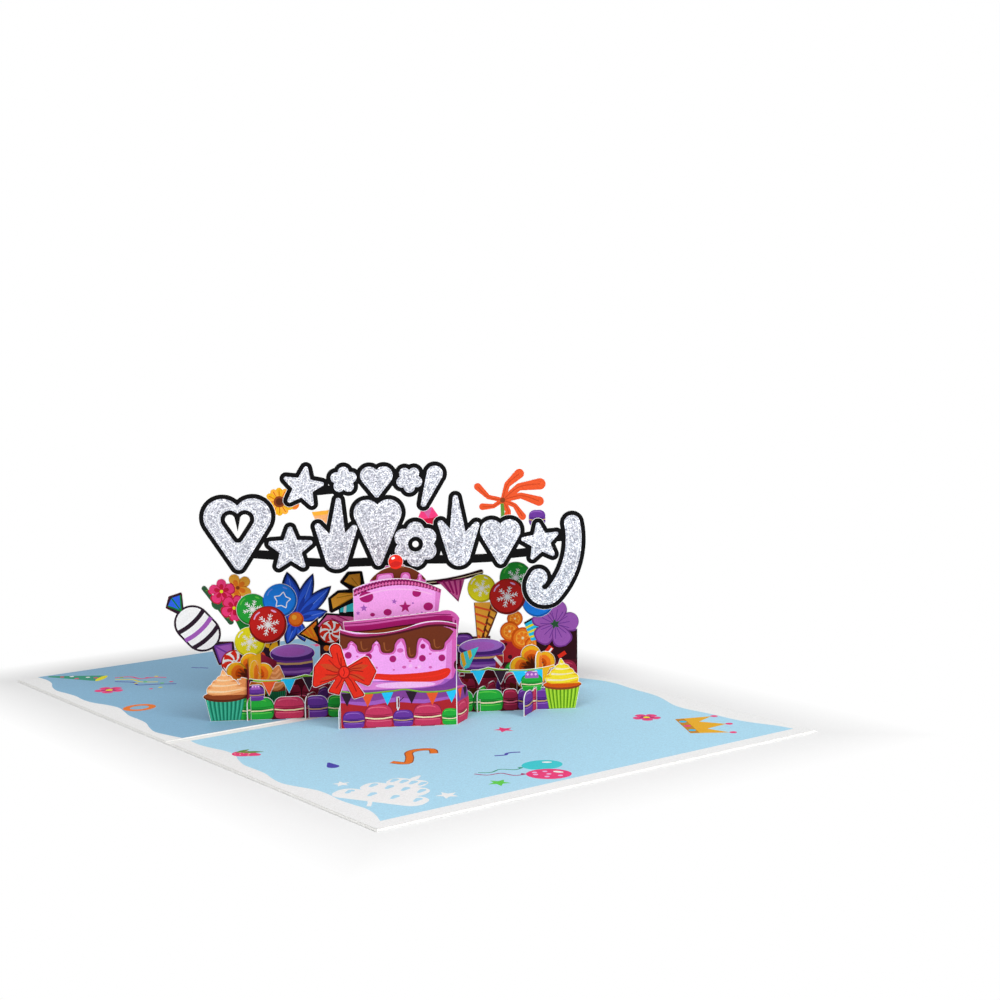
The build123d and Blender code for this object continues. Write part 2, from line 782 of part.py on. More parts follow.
with BuildPart() as ornament_backing:
    with BuildSketch(facing_plane(ornament)):
        for draw in list(lower_shapes.values()) + list(upper_shapes.values()):
            draw(ornament_border)
        for x0, y0, x1, y1 in black_links:
            taper(x0, y0, ornament_border, x1, y1, ornament_border)
    extrude(amount=sheet / 2, both=True)
ornament_backing.part.label = "ornament_backing"
export_step(ornament_backing.part, "parts/ornament_backing.step")

for name, draw in {**lower_shapes, **upper_shapes}.items():
    with BuildPart() as glitter_shape:
        with BuildSketch(facing_plane(glitter)):
            draw(0.0)
        extrude(amount=glitter_thickness / 2, both=True)
    glitter_shape.part.label = name
    export_step(glitter_shape.part, f"parts/{name}.step")


# Items glued on the back of the ornament's black sheet

with BuildPart() as sunflower:
    with BuildSketch(facing_plane(middle)):
        bloom(-44.6, 88.0, 2.6, 4.6, 1.5, 12)
        taper(-44.6, 88.0, 2.6, -49.0, 82.0, 2.2)
        taper(-44.6, 88.0, 2.6, -38.4, 86.6, 2.2)
    extrude(amount=sheet / 2, both=True)
sunflower.part.label = "sunflower"
export_step(sunflower.part, "parts/sunflower.step")

with BuildPart() as gift_box:
    with BuildSketch(facing_plane(middle)):
        Polygon((-31.4, 83.4), (-21.4, 84.4), (-20.6, 76.4), (-27.8, 74.6), align=None)
        block(-29.0, -21.6, 74.0, 78.0)
    extrude(amount=sheet / 2, both=True)
gift_box.part.label = "gift_box"
export_step(gift_box.part, "parts/gift_box.step")

with BuildPart() as pink_gem:
    with BuildSketch(facing_plane(middle)):
        Polygon((13.0, 79.0), (15.0, 83.6), (19.6, 84.4), (22.6, 80.0), (18.0, 74.6), align=None)
    extrude(amount=sheet / 2, both=True)
pink_gem.part.label = "pink_gem"
export_step(pink_gem.part, "parts/pink_gem.step")

palm_x, palm_y = 49.6, 86.4
palm_fronds = (
    (39.0, 92.4, 1.7),
    (41.0, 83.8, 1.6),
    (56.8, 97.6, 2.2),
    (65.6, 93.0, 2.6),
    (65.2, 85.6, 2.2),
    (58.0, 79.2, 1.7),
    (51.4, 76.4, 2.0),
    (45.6, 73.4, 1.2),
)

with BuildPart() as palm_flower:
    with BuildSketch(facing_plane(middle)):
        for x, y, radius in palm_fronds:
            bend_x = (palm_x + x) / 2 + 0.14 * (palm_y - y)
            bend_y = (palm_y + y) / 2 + 0.14 * (x - palm_x)
            taper(palm_x, palm_y, 1.1, bend_x, bend_y, 0.66 * radius)
            taper(bend_x, bend_y, 0.66 * radius, x, y, radius)
    extrude(amount=sheet / 2, both=True)
palm_flower.part.label = "palm_flower"
export_step(palm_flower.part, "parts/palm_flower.step")

with BuildPart() as small_macaron:
    with BuildSketch(facing_plane(middle)):
        macaron(60.6, 68.0, 74.4, 82.0)
    extrude(amount=sheet / 2, both=True)
small_macaron.part.label = "small_macaron"
export_step(small_macaron.part, "parts/small_macaron.step")


# Crossing sheets


def cross_outline(number):
    """Outline of one crossing sheet with its slots, feet and any taller end."""
    across = number * pitch
    meets, near_reach, far_reach = cross_spans[number]
    stations = [on_crossing(away, across) for away in meets]
    start = stations[0] - near_reach if near_reach is not None else on_crossing(front, across) + slot_width / 2
    if number == 0:
        start = on_crossing(front, across) - sheet
    end = stations[-1] + far_reach
    count = max(1, round((end - start) / (pitch / 2)))
    macaron_band([start + k * (end - start) / count for k in range(count + 1)], cross_row)
    if number == -1:
        block(start - slot_width - sheet, start + 2.0, tongue_bottom, tongue_top)
        block(start, start + 6.0, 0, cross_row)
    if number in (2, -3):
        edge = stations[0] + slot_width / 2
        taper(edge + 4.0, 9.0, 4.0, edge + 3.5, 20.8, 3.5)
        taper(edge + 4.0, 9.0, 4.0, edge + 6.2, 15.8, 2.8)
        block(edge - 3.0, edge, end_weave - play, 30.0, Mode.SUBTRACT)
        if number == -3:
            macaron(start, stations[0] - slot_width / 2, 0, cross_row - 1.0)
    for k, station in enumerate(stations):
        low = end_weave if number in (2, -3) and k == 0 else weave
        block(station - slot_width / 2, station + slot_width / 2, low - play, 30.0, Mode.SUBTRACT)
    feet(crossing_feet[number])


for number in cross_spans:
    with BuildPart() as cross_slice:
        with BuildSketch(crossing_plane(number * pitch)):
            cross_outline(number)
        extrude(amount=sheet / 2, both=True)
    name = f"cross_slice_{4 - number}"
    cross_slice.part.label = name
    export_step(cross_slice.part, f"parts/{name}.step")
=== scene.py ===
"""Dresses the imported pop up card: printed paper on every die-cut sheet, glitter, base print and studio."""

import logging
import math
import random
from dataclasses import dataclass, field
from enum import Enum
from typing import Iterable, Optional

import bpy
from mathutils import Matrix, Vector
from mathutils.geometry import delaunay_2d_cdt


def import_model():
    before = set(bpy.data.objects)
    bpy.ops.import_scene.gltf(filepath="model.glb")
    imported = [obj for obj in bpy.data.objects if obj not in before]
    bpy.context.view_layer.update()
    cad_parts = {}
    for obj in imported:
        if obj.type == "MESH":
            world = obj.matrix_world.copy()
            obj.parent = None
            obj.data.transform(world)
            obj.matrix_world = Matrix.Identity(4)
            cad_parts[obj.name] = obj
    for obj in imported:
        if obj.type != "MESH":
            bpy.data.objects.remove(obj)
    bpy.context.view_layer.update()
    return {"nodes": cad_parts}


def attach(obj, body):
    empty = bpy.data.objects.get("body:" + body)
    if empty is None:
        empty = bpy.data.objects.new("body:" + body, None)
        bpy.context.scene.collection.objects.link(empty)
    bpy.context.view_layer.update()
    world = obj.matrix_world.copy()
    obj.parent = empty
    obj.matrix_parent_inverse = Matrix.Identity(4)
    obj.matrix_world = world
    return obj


LOG = logging.getLogger("pop_up_card")

MM = 0.001
FULL_WHITE = (1, 1, 1, 1)

Spot = tuple[float, float]
Outline = list[Spot]


# Colours and finishes


def linear(code: str) -> tuple[float, float, float, float]:
    """Turns an sRGB hex colour into the linear one that the shaders take.

    Args:
        code: Colour such as "#AABBCC".

    Returns:
        Red, green, blue and alpha, linear.
    """
    shares = [int(code[k:k + 2], 16) / 255 for k in (1, 3, 5)]
    return (*[s / 12.92 if s <= 0.04045 else ((s + 0.055) / 1.055) ** 2.4 for s in shares], 1.0)


def add(tree: bpy.types.NodeTree, kind: str, settings: Optional[dict] = None, links: Optional[dict] = None):
    """Adds a node with its settings and links.

    Args:
        tree: The node tree.
        kind: Blender's name of the node type.
        settings: Attributes by name, and values of input sockets by name or number.
        links: Output sockets to link, by the name or number of the input socket.

    Returns:
        The new node.
    """
    node = tree.nodes.new(kind)
    for name, value in (settings or {}).items():
        if isinstance(name, int) or name in node.inputs:
            node.inputs[name].default_value = value
        else:
            setattr(node, name, value)
    for name, source in (links or {}).items():
        tree.links.new(source, node.inputs[name])
    return node


def calculate(tree: bpy.types.NodeTree, operation: str, *values) -> bpy.types.NodeSocket:
    """Adds a maths node.

    Args:
        tree: The node tree.
        operation: What it does.
        values: What it works on: numbers or output sockets.

    Returns:
        Its output.
    """
    numbers = {k: value for k, value in enumerate(values) if isinstance(value, float)}
    sockets = {k: value for k, value in enumerate(values) if k not in numbers}
    return add(tree, "ShaderNodeMath", {"operation": operation, **numbers}, sockets).outputs[0]


def new_material(name: str) -> tuple[bpy.types.Material, bpy.types.NodeTree]:
    """Makes an empty node material.

    Args:
        name: The material's name.

    Returns:
        The material and its node tree.
    """
    material = bpy.data.materials.new(name)
    material.use_nodes = True
    material.node_tree.nodes.clear()
    return material, material.node_tree


def fibre_card(name: str, dark: tuple, light: tuple, fibre: float, noise: dict, ends: Spot, relief: Spot,
               surface: dict) -> bpy.types.Material:
    """Makes card whose colour and height follow its fibres, or gives the one that is there already.

    Args:
        name: The material's name.
        dark: Linear colour between the fibres.
        light: Linear colour on top of them.
        fibre: Size of the pattern in mm.
        noise: Settings of the noise.
        ends: Where in the noise the dark colour ends and the light one starts.
        relief: Strength of the relief and its height in mm.
        surface: Settings of the surface.

    Returns:
        The material.
    """
    if name in bpy.data.materials:
        return bpy.data.materials[name]
    material, tree = new_material(name)
    place = add(tree, "ShaderNodeTexCoord").outputs["Object"]
    fibres = add(tree, "ShaderNodeTexNoise", {"Scale": 1 / (fibre * MM), **noise},
                 {"Vector": place}).outputs["Fac"]
    ramp = add(tree, "ShaderNodeValToRGB", links={"Fac": fibres})
    for stop, end, colour in zip(ramp.color_ramp.elements, ends, (dark, light)):
        stop.position, stop.color = end, colour
    bump = add(tree, "ShaderNodeBump", {"Strength": relief[0], "Distance": relief[1] * MM},
               {"Height": fibres})
    shader = add(tree, "ShaderNodeBsdfPrincipled", surface,
                 {"Base Color": ramp.outputs["Color"], "Normal": bump.outputs["Normal"]})
    add(tree, "ShaderNodeOutputMaterial", links={"Surface": shader.outputs["BSDF"]})
    return material


def dress(node: bpy.types.Object, material: bpy.types.Material) -> None:
    """Gives a CAD node one material."""
    node.data.materials.clear()
    node.data.materials.append(material)


def new_object(name: str, data: bpy.types.ID) -> bpy.types.Object:
    """Makes an object of its data and puts it in the scene.

    Args:
        name: Name of the object.
        data: Its mesh, lamp or other data.

    Returns:
        The new object.
    """
    thing = bpy.data.objects.new(name, data)
    bpy.context.scene.collection.objects.link(thing)
    return thing


class Ink(Enum):
    """Printing inks of the card, by sRGB colour."""

    WHITE = "#FAFAF9"
    SNOW = "#FFFFFF"
    SKY = "#B4E2F8"
    # Pale blue darkened as painted shade of the pop-up's shadow on the far lining; also darker print dots on
    # the outside.
    SKY_SHADE = "#8CBAD8"
    SKY_PALE = "#CDE9F6"
    BLACK = "#070607"
    SOOT = "#2B1A29"
    NAVY = "#081B3C"
    ROYAL = "#2F62E6"
    ROYAL_SHADE = "#2342B0"
    ROYAL_LIGHT = "#6C96F6"
    BLUE = "#1F85EE"
    BLUE_SHADE = "#1560B8"
    CYAN = "#25C0EE"
    TURQUOISE = "#40D0D7"
    GREEN = "#27A83A"
    GREEN_SHADE = "#157A2C"
    GREEN_LIGHT = "#63D04C"
    TEAL = "#279474"
    TEAL_SHADE = "#14694F"
    LIME = "#8CC024"
    LIME_SHADE = "#4F8212"
    LEAF = "#5C8F35"
    BAMBOO = "#2F5B3A"
    YELLOW = "#F0E620"
    YELLOW_SHADE = "#C9BB18"
    YELLOW_CREAM = "#F4D92C"
    GOLD = "#EDB01C"
    GOLD_SHADE = "#C2840F"
    OLIVE = "#B98D20"
    ORANGE = "#F07A20"
    ORANGE_SHADE = "#D3520B"
    ORANGE_LIGHT = "#FBB03A"
    PEACH = "#F5AE72"
    PEACH_LIGHT = "#FAD0A4"
    PEACH_SHADE = "#E08A50"
    CORAL = "#E9562B"
    CORAL_SHADE = "#C94420"
    RED = "#E22C1A"
    RED_SHADE = "#9E1812"
    CHERRY = "#EE2E20"
    BALLOON_RED = "#CF2420"
    BALLOON_RED_SHADE = "#7E1413"
    CRIMSON = "#C9375C"
    CRIMSON_SHADE = "#93203C"
    CRIMSON_LIGHT = "#E26580"
    MAROON = "#4A0F1C"
    MAROON_SHADE = "#2E0A12"
    WALL_RED = "#B0242C"
    WALL_PURPLE = "#82408F"
    CAKE_PINK = "#F2A2E8"
    CAKE_SHADE = "#DC7CC8"
    CAKE_DEEP = "#D25CAA"
    CAKE_PALE = "#F4B8E8"
    MAGENTA = "#A51868"
    MAGENTA_SHADE = "#7C1250"
    COLLAR = "#A02A62"
    HOT_PINK = "#F03D7C"
    BLOOM_RED = "#C8163C"
    PINK_STRIPE = "#D9609E"
    LILAC = "#A45CB8"
    LILAC_SHADE = "#7A3A90"
    PURPLE = "#6B3696"
    PURPLE_SHADE = "#42206E"
    PURPLE_LIGHT = "#9A66BE"
    CHOCOLATE = "#6B2E18"
    CHOCOLATE_LIGHT = "#94502A"
    BROWN = "#8A3E1C"
    BROWN_SHADE = "#5A2612"
    TAN = "#C9A068"
    CREAM = "#F3E2B4"
    VIOLET = "#4B47AE"
    TEAL_LIGHT = "#46B492"
    LIME_LIGHT = "#B6DC3C"


@dataclass(frozen=True)
class PrintedCard:
    """Offset ink on matt coated card: even colour, a faint fibre mottle and a soft, dull sheen."""

    ink: Ink
    fibre: float = 0.55  # mm, coarser than real fibre so that it shows
    mottle: float = 0.07
    roughness: float = 0.65
    sheen: float = 0.1

    def material(self) -> bpy.types.Material:
        """Builds the ink's material, or gives the one that is there already.

        Returns:
            The material.
        """
        colour = linear(self.ink.value)[:3]
        dark, light = [(*(min(1.0, c * (1 + way * self.mottle)) for c in colour), 1.0) for way in (-1, 1)]
        return fibre_card(f"offset_print_{self.ink.name.lower()}_on_matt_card", dark, light, self.fibre,
                          noise={"Detail": 3.0, "Roughness": 0.6}, ends=(0.35, 0.65), relief=(0.15, 0.02),
                          surface={"Roughness": self.roughness, "IOR": 1.48,
                                   "Specular IOR Level": self.sheen})


@dataclass(frozen=True)
class CutCard:
    """Bare white card stock as its die-cut edges and unprinted strips show it: matt, with faint fibres."""

    name: str = "bare_white_card_die_cut"
    light: str = "#FAFAF8"
    dark: str = "#F1F0ED"
    fibre: float = 0.7  # mm, coarser than real fibre so that it shows

    def material(self) -> bpy.types.Material:
        """Builds the bare card's material, or gives the one that is there already.

        Returns:
            The material.
        """
        return fibre_card(self.name, linear(self.dark), linear(self.light), self.fibre,
                          noise={"Detail": 4.0, "Roughness": 0.7}, ends=(0.3, 0.6), relief=(0.3, 0.03),
                          surface={"Roughness": 0.82, "IOR": 1.45, "Specular IOR Level": 0.25})


@dataclass(frozen=True)
class GlitterCard:
    """Silver glitter card: foil flakes glued at all tilts, so that each catches the light by itself, and
    coloured at random from dark grey to near white as painted glints and painted shade.
    """

    name: str = "silver_glitter_card"
    flake: float = 0.45  # mm, a little over a real flake, so that single flakes show
    tilt: float = 0.55
    # Flake colours: the light one is a painted glint, the dark one painted shade, the middle one between.
    light: str = "#F2F2F8"
    middle: str = "#C9CAD4"
    dark: str = "#9A9AA6"
    dark_end: float = 0.08
    middle_at: float = 0.45
    light_start: float = 0.85
    metal: float = 0.35
    roughness: float = 0.38

    def material(self) -> bpy.types.Material:
        """Builds the glitter's material.

        Returns:
            The material.
        """
        material, tree = new_material(self.name)
        place = add(tree, "ShaderNodeTexCoord").outputs["Object"]
        flakes = add(tree, "ShaderNodeTexVoronoi", {"Scale": 1 / (self.flake * MM), "Randomness": 1.0},
                     {"Vector": place}).outputs["Color"]
        split = add(tree, "ShaderNodeSeparateColor", links={"Color": flakes})
        # Each flake takes a colour at random from dark grey to near white: painted glints and painted shade
        # on top of the tilted normals.
        ramp = add(tree, "ShaderNodeValToRGB", links={"Fac": split.outputs["Red"]})
        stops = ramp.color_ramp.elements
        stops[0].position, stops[0].color = self.dark_end, linear(self.dark)
        stops[1].position, stops[1].color = self.light_start, linear(self.light)
        stops.new(self.middle_at).color = linear(self.middle)
        centred = add(tree, "ShaderNodeVectorMath", {"operation": "SUBTRACT", 1: (0.5, 0.5, 0.5)},
                      {0: flakes})
        scaled = add(tree, "ShaderNodeVectorMath", {"operation": "SCALE", "Scale": self.tilt},
                     {0: centred.outputs["Vector"]})
        facing = add(tree, "ShaderNodeNewGeometry").outputs["Normal"]
        tilted = add(tree, "ShaderNodeVectorMath", {"operation": "ADD"},
                     {0: scaled.outputs["Vector"], 1: facing})
        normal = add(tree, "ShaderNodeVectorMath", {"operation": "NORMALIZE"}, {0: tilted.outputs["Vector"]})
        shader = add(tree, "ShaderNodeBsdfPrincipled", {"Metallic": self.metal, "Roughness": self.roughness},
                     {"Base Color": ramp.outputs["Color"], "Normal": normal.outputs["Vector"]})
        add(tree, "ShaderNodeOutputMaterial", links={"Surface": shader.outputs["BSDF"]})
        return material


# Flat shapes


def ellipse(x: float, y: float, wide: float, high: Optional[float] = None, turn: float = 0.0,
            steps: int = 24) -> Outline:
    """Ellipse about a middle.

    Args:
        x: Middle, sideways.
        y: Middle, upwards.
        wide: Half its width.
        high: Half its height, or the same as the width.
        turn: Degrees that it is turned by.
        steps: How many corners it has.

    Returns:
        The outline.
    """
    high = wide if high is None else high
    c, s = math.cos(math.radians(turn)), math.sin(math.radians(turn))
    spots = []
    for k in range(steps):
        a = 2 * math.pi * k / steps
        u, v = wide * math.cos(a), high * math.sin(a)
        spots.append((x + u * c - v * s, y + u * s + v * c))
    return spots


def polar(x: float, y: float, reach: float, angle: float) -> Spot:
    """Spot at a distance from another, in a direction in radians."""
    return x + reach * math.cos(angle), y + reach * math.sin(angle)


def box(left: float, right: float, low: float, high: float) -> Outline:
    """Rectangle between four edges."""
    return [(left, low), (right, low), (right, high), (left, high)]


def loaf(left: float, right: float, low: float, high: float, share: float = 0.36) -> Outline:
    """Rectangle with rounded corners.

    Args:
        left: Left edge.
        right: Right edge.
        low: Lower edge.
        high: Upper edge.
        share: Corner radius as a share of the shorter side.

    Returns:
        The outline.
    """
    r = share * min(right - left, high - low)
    corners = ((right - r, high - r, 0), (left + r, high - r, 90), (left + r, low + r, 180),
               (right - r, low + r, 270))
    return [polar(x, y, r, math.radians(start + 15 * k)) for x, y, start in corners for k in range(7)]


def dome(left: float, right: float, low: float, high: float, power: float = 2.6) -> Outline:
    """Flat-based dome with full shoulders.

    Args:
        left: Left edge.
        right: Right edge.
        low: Height of its base.
        high: Height of its top.
        power: How full its shoulders are; 2 is half an ellipse.

    Returns:
        The outline.
    """
    spots = []
    for k in range(17):
        c, s = math.cos(math.pi * k / 16), math.sin(math.pi * k / 16)
        spots.append(((left + right) / 2 + (right - left) / 2 * math.copysign(abs(c) ** (2 / power), c),
                      low + (high - low) * abs(s) ** (2 / power)))
    return spots


def drop(x0: float, y0: float, r0: float, x1: float, y1: float, r1: float) -> Outline:
    """Rounded stroke between two end circles with straight tangents.

    Args:
        x0: First end, sideways.
        y0: First end, upwards.
        r0: First end's radius.
        x1: Second end, sideways.
        y1: Second end, upwards.
        r1: Second end's radius.

    Returns:
        The outline.
    """
    along = math.atan2(y1 - y0, x1 - x0)
    lean = math.acos(max(-1.0, min(1.0, (r0 - r1) / math.hypot(x1 - x0, y1 - y0))))
    first = [polar(x0, y0, r0, along + lean + (2 * math.pi - 2 * lean) * k / 12) for k in range(13)]
    return first + [polar(x1, y1, r1, along - lean + 2 * lean * k / 12) for k in range(13)]


def leaf(x0: float, y0: float, x1: float, y1: float, belly: float) -> Outline:
    """Pointed leaf between two spots.

    Args:
        x0: Its stem, across.
        y0: Its stem, upwards.
        x1: Its tip, across.
        y1: Its tip, upwards.
        belly: Half of its greatest breadth.

    Returns:
        Its outline.
    """
    length = math.hypot(x1 - x0, y1 - y0)
    u, v = (y0 - y1) / length, (x1 - x0) / length
    sides = []
    for way in (1, -1):
        sides.append([(x0 + (x1 - x0) * k / 10 + way * belly * u * math.sin(math.pi * k / 10),
                       y0 + (y1 - y0) * k / 10 + way * belly * v * math.sin(math.pi * k / 10))
                      for k in range(11)])
    return sides[0] + sides[1][-2:0:-1]


def smooth(spots: Iterable[Spot], parts: int = 5) -> Outline:
    """Curve through given spots.

    Args:
        spots: What it goes through.
        parts: Steps between two spots.

    Returns:
        The curve's spots.
    """
    ends = list(spots)
    ends = [ends[0], *ends, ends[-1]]
    curve = []
    for a, b, c, d in zip(ends, ends[1:], ends[2:], ends[3:]):
        for k in range(parts):
            t = k / parts
            curve.append(tuple(
                0.5 * (2 * b[i] + (c[i] - a[i]) * t + (2 * a[i] - 5 * b[i] + 4 * c[i] - d[i]) * t * t
                       + (3 * b[i] - a[i] - 3 * c[i] + d[i]) * t ** 3) for i in (0, 1)))
    return [*curve, ends[-1]]


def shifted(outline: Iterable[Spot], right: float, up: float) -> Outline:
    """Moves an outline."""
    return [(x + right, y + up) for x, y in outline]


def placed(outline: Outline, x: float, y: float, size: float, turn: float) -> Outline:
    """Scales, turns and moves an outline.

    Args:
        outline: Outline about its own origin.
        x: New place, sideways.
        y: New place, upwards.
        size: Scale.
        turn: Degrees that it is turned by.

    Returns:
        The moved outline.
    """
    c, s = math.cos(math.radians(turn)), math.sin(math.radians(turn))
    return [(x + size * (u * c - v * s), y + size * (u * s + v * c)) for u, v in outline]


def strip(spots: Iterable[Spot], width: float, end_width: Optional[float] = None) -> Outline:
    """Line of some width along given spots.

    Args:
        spots: Its middle line.
        width: Its width at the start.
        end_width: Its width at the end, or the same.

    Returns:
        The outline.
    """
    line = list(spots)
    end_width = width if end_width is None else end_width
    left, right = [], []
    for k, (x, y) in enumerate(line):
        x0, y0 = line[max(0, k - 1)]
        x1, y1 = line[min(len(line) - 1, k + 1)]
        length = math.hypot(x1 - x0, y1 - y0) or 1.0
        half = (width + (end_width - width) * k / max(1, len(line) - 1)) / 2
        u, v = -(y1 - y0) / length * half, (x1 - x0) / length * half
        left.append((x + u, y + v))
        right.append((x - u, y - v))
    return left + right[::-1]


def star(x: float, y: float, outer: float, share: float = 0.45, points: int = 5,
         start: float = 90.0) -> Outline:
    """Star with straight edges.

    Args:
        x: Middle, sideways.
        y: Middle, upwards.
        outer: Distance of the tips.
        share: Inner corners' distance as a share of it.
        points: How many tips.
        start: Direction of the first tip in degrees.

    Returns:
        The outline.
    """
    return [polar(x, y, outer * (share if k % 2 else 1.0), math.radians(start + 180 * k / points))
            for k in range(2 * points)]


def fan(start: float, count: int = 5) -> list[float]:
    """Directions of evenly spaced petals in degrees, from the first one's."""
    return [start + 360 / count * k for k in range(count)]


PETAL_SIDE = ((0.0, 0.0), (0.25, 0.3), (0.5, 0.46), (0.75, 0.5), (0.92, 0.34), (1.0, 0.0))
DRIP_SIDE = ((1.6, 0.0), (1.08, 0.34), (0.96, 0.72), (0.55, 0.96), (-0.55, 0.96), (-0.96, 0.72),
             (-1.08, 0.34),
             (-1.6, 0.0))


def petal(x: float, y: float, direction: float, reach: float, width: float, back: float = 0.0) -> Outline:
    """Leaf or petal with a pointed root and a round end.

    Args:
        x: Root, sideways.
        y: Root, upwards.
        direction: Where it points, in degrees.
        reach: Its length.
        width: Its greatest width.
        back: How far its root is moved outwards.

    Returns:
        The outline.
    """
    a = math.radians(direction)
    c, s = math.cos(a), math.sin(a)
    ring = smooth([(back + (reach - back) * u, v * width) for u, v in PETAL_SIDE], 3)
    ring += [(u, -v) for u, v in reversed(ring[1:-1])]
    return [(x + u * c - v * s, y + u * s + v * c) for u, v in ring]


def drips(top: Iterable[Spot], hangs: Iterable[tuple[float, float, float, float]],
          grow: float = 0.0) -> Outline:
    """Icing that hangs down in rounded drips.

    Args:
        top: Its upper edge, from left to right.
        hangs: Middle, half width, height of its root and of its end, for each drip from left to right.
        grow: How much wider and longer each drip is than given.

    Returns:
        The outline.
    """
    edge = list(top)
    under = [edge[-1]]
    for middle, half, root, end in reversed(list(hangs)):
        under += [(middle + u * (half + grow), root - v * (root - end) - grow) for u, v in DRIP_SIDE]
    return edge + smooth([*under, edge[0]], 3)


# Artwork of one sheet


@dataclass
class Artwork:
    """Flat fields of ink in one sheet's own coordinates, in mm. Later ones lie over earlier ones."""

    base: Optional[Ink]
    fields: list[tuple[Ink, Outline]] = field(default_factory=list)
    edge: Optional[tuple[Ink, float]] = None

    def lay(self, ink: Ink, *outlines: Outline) -> None:
        """Adds outlines in one ink."""
        self.fields.extend((ink, outline) for outline in outlines)

    def stamp(self, spot: tuple, ink: Ink, *outlines: Outline) -> None:
        """Adds outlines in one ink at a spot: its place, their scale and their turn in degrees."""
        self.lay(ink, *[placed(outline, *spot) for outline in outlines])

    def line(self, ink: Ink, spots: Iterable[Spot], width: float = 0.35) -> None:
        """Adds a smooth line of an ink."""
        self.lay(ink, strip(smooth(spots, 4), width))

    def rimmed(self, rim: Ink, width: float, ink: Ink, outline: Outline) -> None:
        """Adds an outline in one ink with a line of another ink around it."""
        self.lay(rim, strip([*outline, outline[0], outline[1]], 2 * width))
        self.lay(ink, outline)

    def scatter(self, ink: Ink, left: float, right: float, low: float, high: float, radius: float, count: int,
                seed: int) -> None:
        """Adds small dots that keep apart.

        Args:
            ink: Their ink.
            left: Left edge of their field.
            right: Right edge.
            low: Lower edge.
            high: Upper edge.
            radius: Largest dot's radius.
            count: How many.
            seed: Start of the random row.
        """
        draw = random.Random(seed)
        placed: list[Spot] = []
        for _ in range(40 * count):
            x, y = draw.uniform(left, right), draw.uniform(low, high)
            if all(math.hypot(x - u, y - v) > 3.2 * radius for u, v in placed):
                placed.append((x, y))
                self.lay(ink, ellipse(x, y, radius * draw.uniform(0.5, 1.0), steps=12))
            if len(placed) == count:
                return

    def belt(self, ink: Ink, left: float, right: float, high: float, sag: float, width: float) -> None:
        """Adds a line that sags in the middle.

        Args:
            ink: Its ink.
            left: Left end.
            right: Right end.
            high: Mean height.
            sag: How far its middle lies lower and its ends higher.
            width: Its width.
        """
        middle, sixth = (left + right) / 2, 0.5 * ((right - left) / 3)
        self.lay(ink, strip([(left, high + sag), (middle - sixth, high - sag), (middle + sixth, high - sag),
                             (right, high + sag)], width))

    def macaron(self, left: float, right: float, low: float, high: float, shell: Ink, shade: Ink, light: Ink,
                filling: Ink) -> None:
        """Macaron seen from the side: two domed shells with ruffled feet and a filling between.

        Args:
            left: Left edge.
            right: Right edge.
            low: Lower edge.
            high: Upper edge.
            shell: Ink of the shells.
            shade: Ink of their shaded rims.
            light: Ink of the gleam on the upper shell.
            filling: Ink of the filling.
        """
        w, h = right - left, high - low
        self.lay(shade, loaf(left, right, low, high))
        self.lay(shell, dome(left + 0.02 * w, right - 0.02 * w, low + 0.5 * h, high))
        self.lay(light, ellipse(left + 0.46 * w, low + 0.82 * h, 0.33 * w, 0.1 * h, steps=16))
        self.lay(shell, ellipse(left + 0.47 * w, low + 0.79 * h, 0.32 * w, 0.085 * h, steps=16))
        self.lay(shell, loaf(left + 0.03 * w, right - 0.03 * w, low + 0.04 * h, low + 0.34 * h, 0.48))
        self.belt(light, left + 0.06 * w, right - 0.06 * w, low + 0.3 * h, 0.02 * h, 0.035 * h)
        self.belt(filling, left + 0.02 * w, right - 0.02 * w, low + 0.42 * h, 0.03 * h, 0.06 * h)
        self.belt(shade, left + 0.05 * w, right - 0.05 * w, low + 0.56 * h, 0.02 * h, 0.035 * h)

    def row(self, edges: Iterable[float], heights: Iterable[float], kinds: Iterable["Macaron"]) -> None:
        """Adds macarons side by side.

        Args:
            edges: Their left and right edges in order.
            heights: Their heights, one each.
            kinds: Their flavours, one each.
        """
        edges = list(edges)
        for left, right, high, kind in zip(edges, edges[1:], heights, kinds):
            self.macaron(left, right, 0.0, high, *kind.value)

    def even_row(self, low: float, high: float, height: float, count: int, kinds: tuple,
                 first: int = 0) -> None:
        """Adds macarons of one size side by side.

        Args:
            low: Where the row starts.
            high: Where it ends.
            height: Their height.
            count: How many there are.
            kinds: Flavours that follow each other.
            first: The flavour that comes first.
        """
        edges = [low + k * (high - low) / count for k in range(count + 1)]
        self.row(edges, [height] * count, [kinds[(k + first) % len(kinds)] for k in range(count)])

    def pennant(self, x: float, y: float, ink: Ink, width: float, length: float) -> None:
        """Adds a hanging flag."""
        self.lay(ink, [(x - width / 2, y), (x + width / 2, y), (x, y - length)])

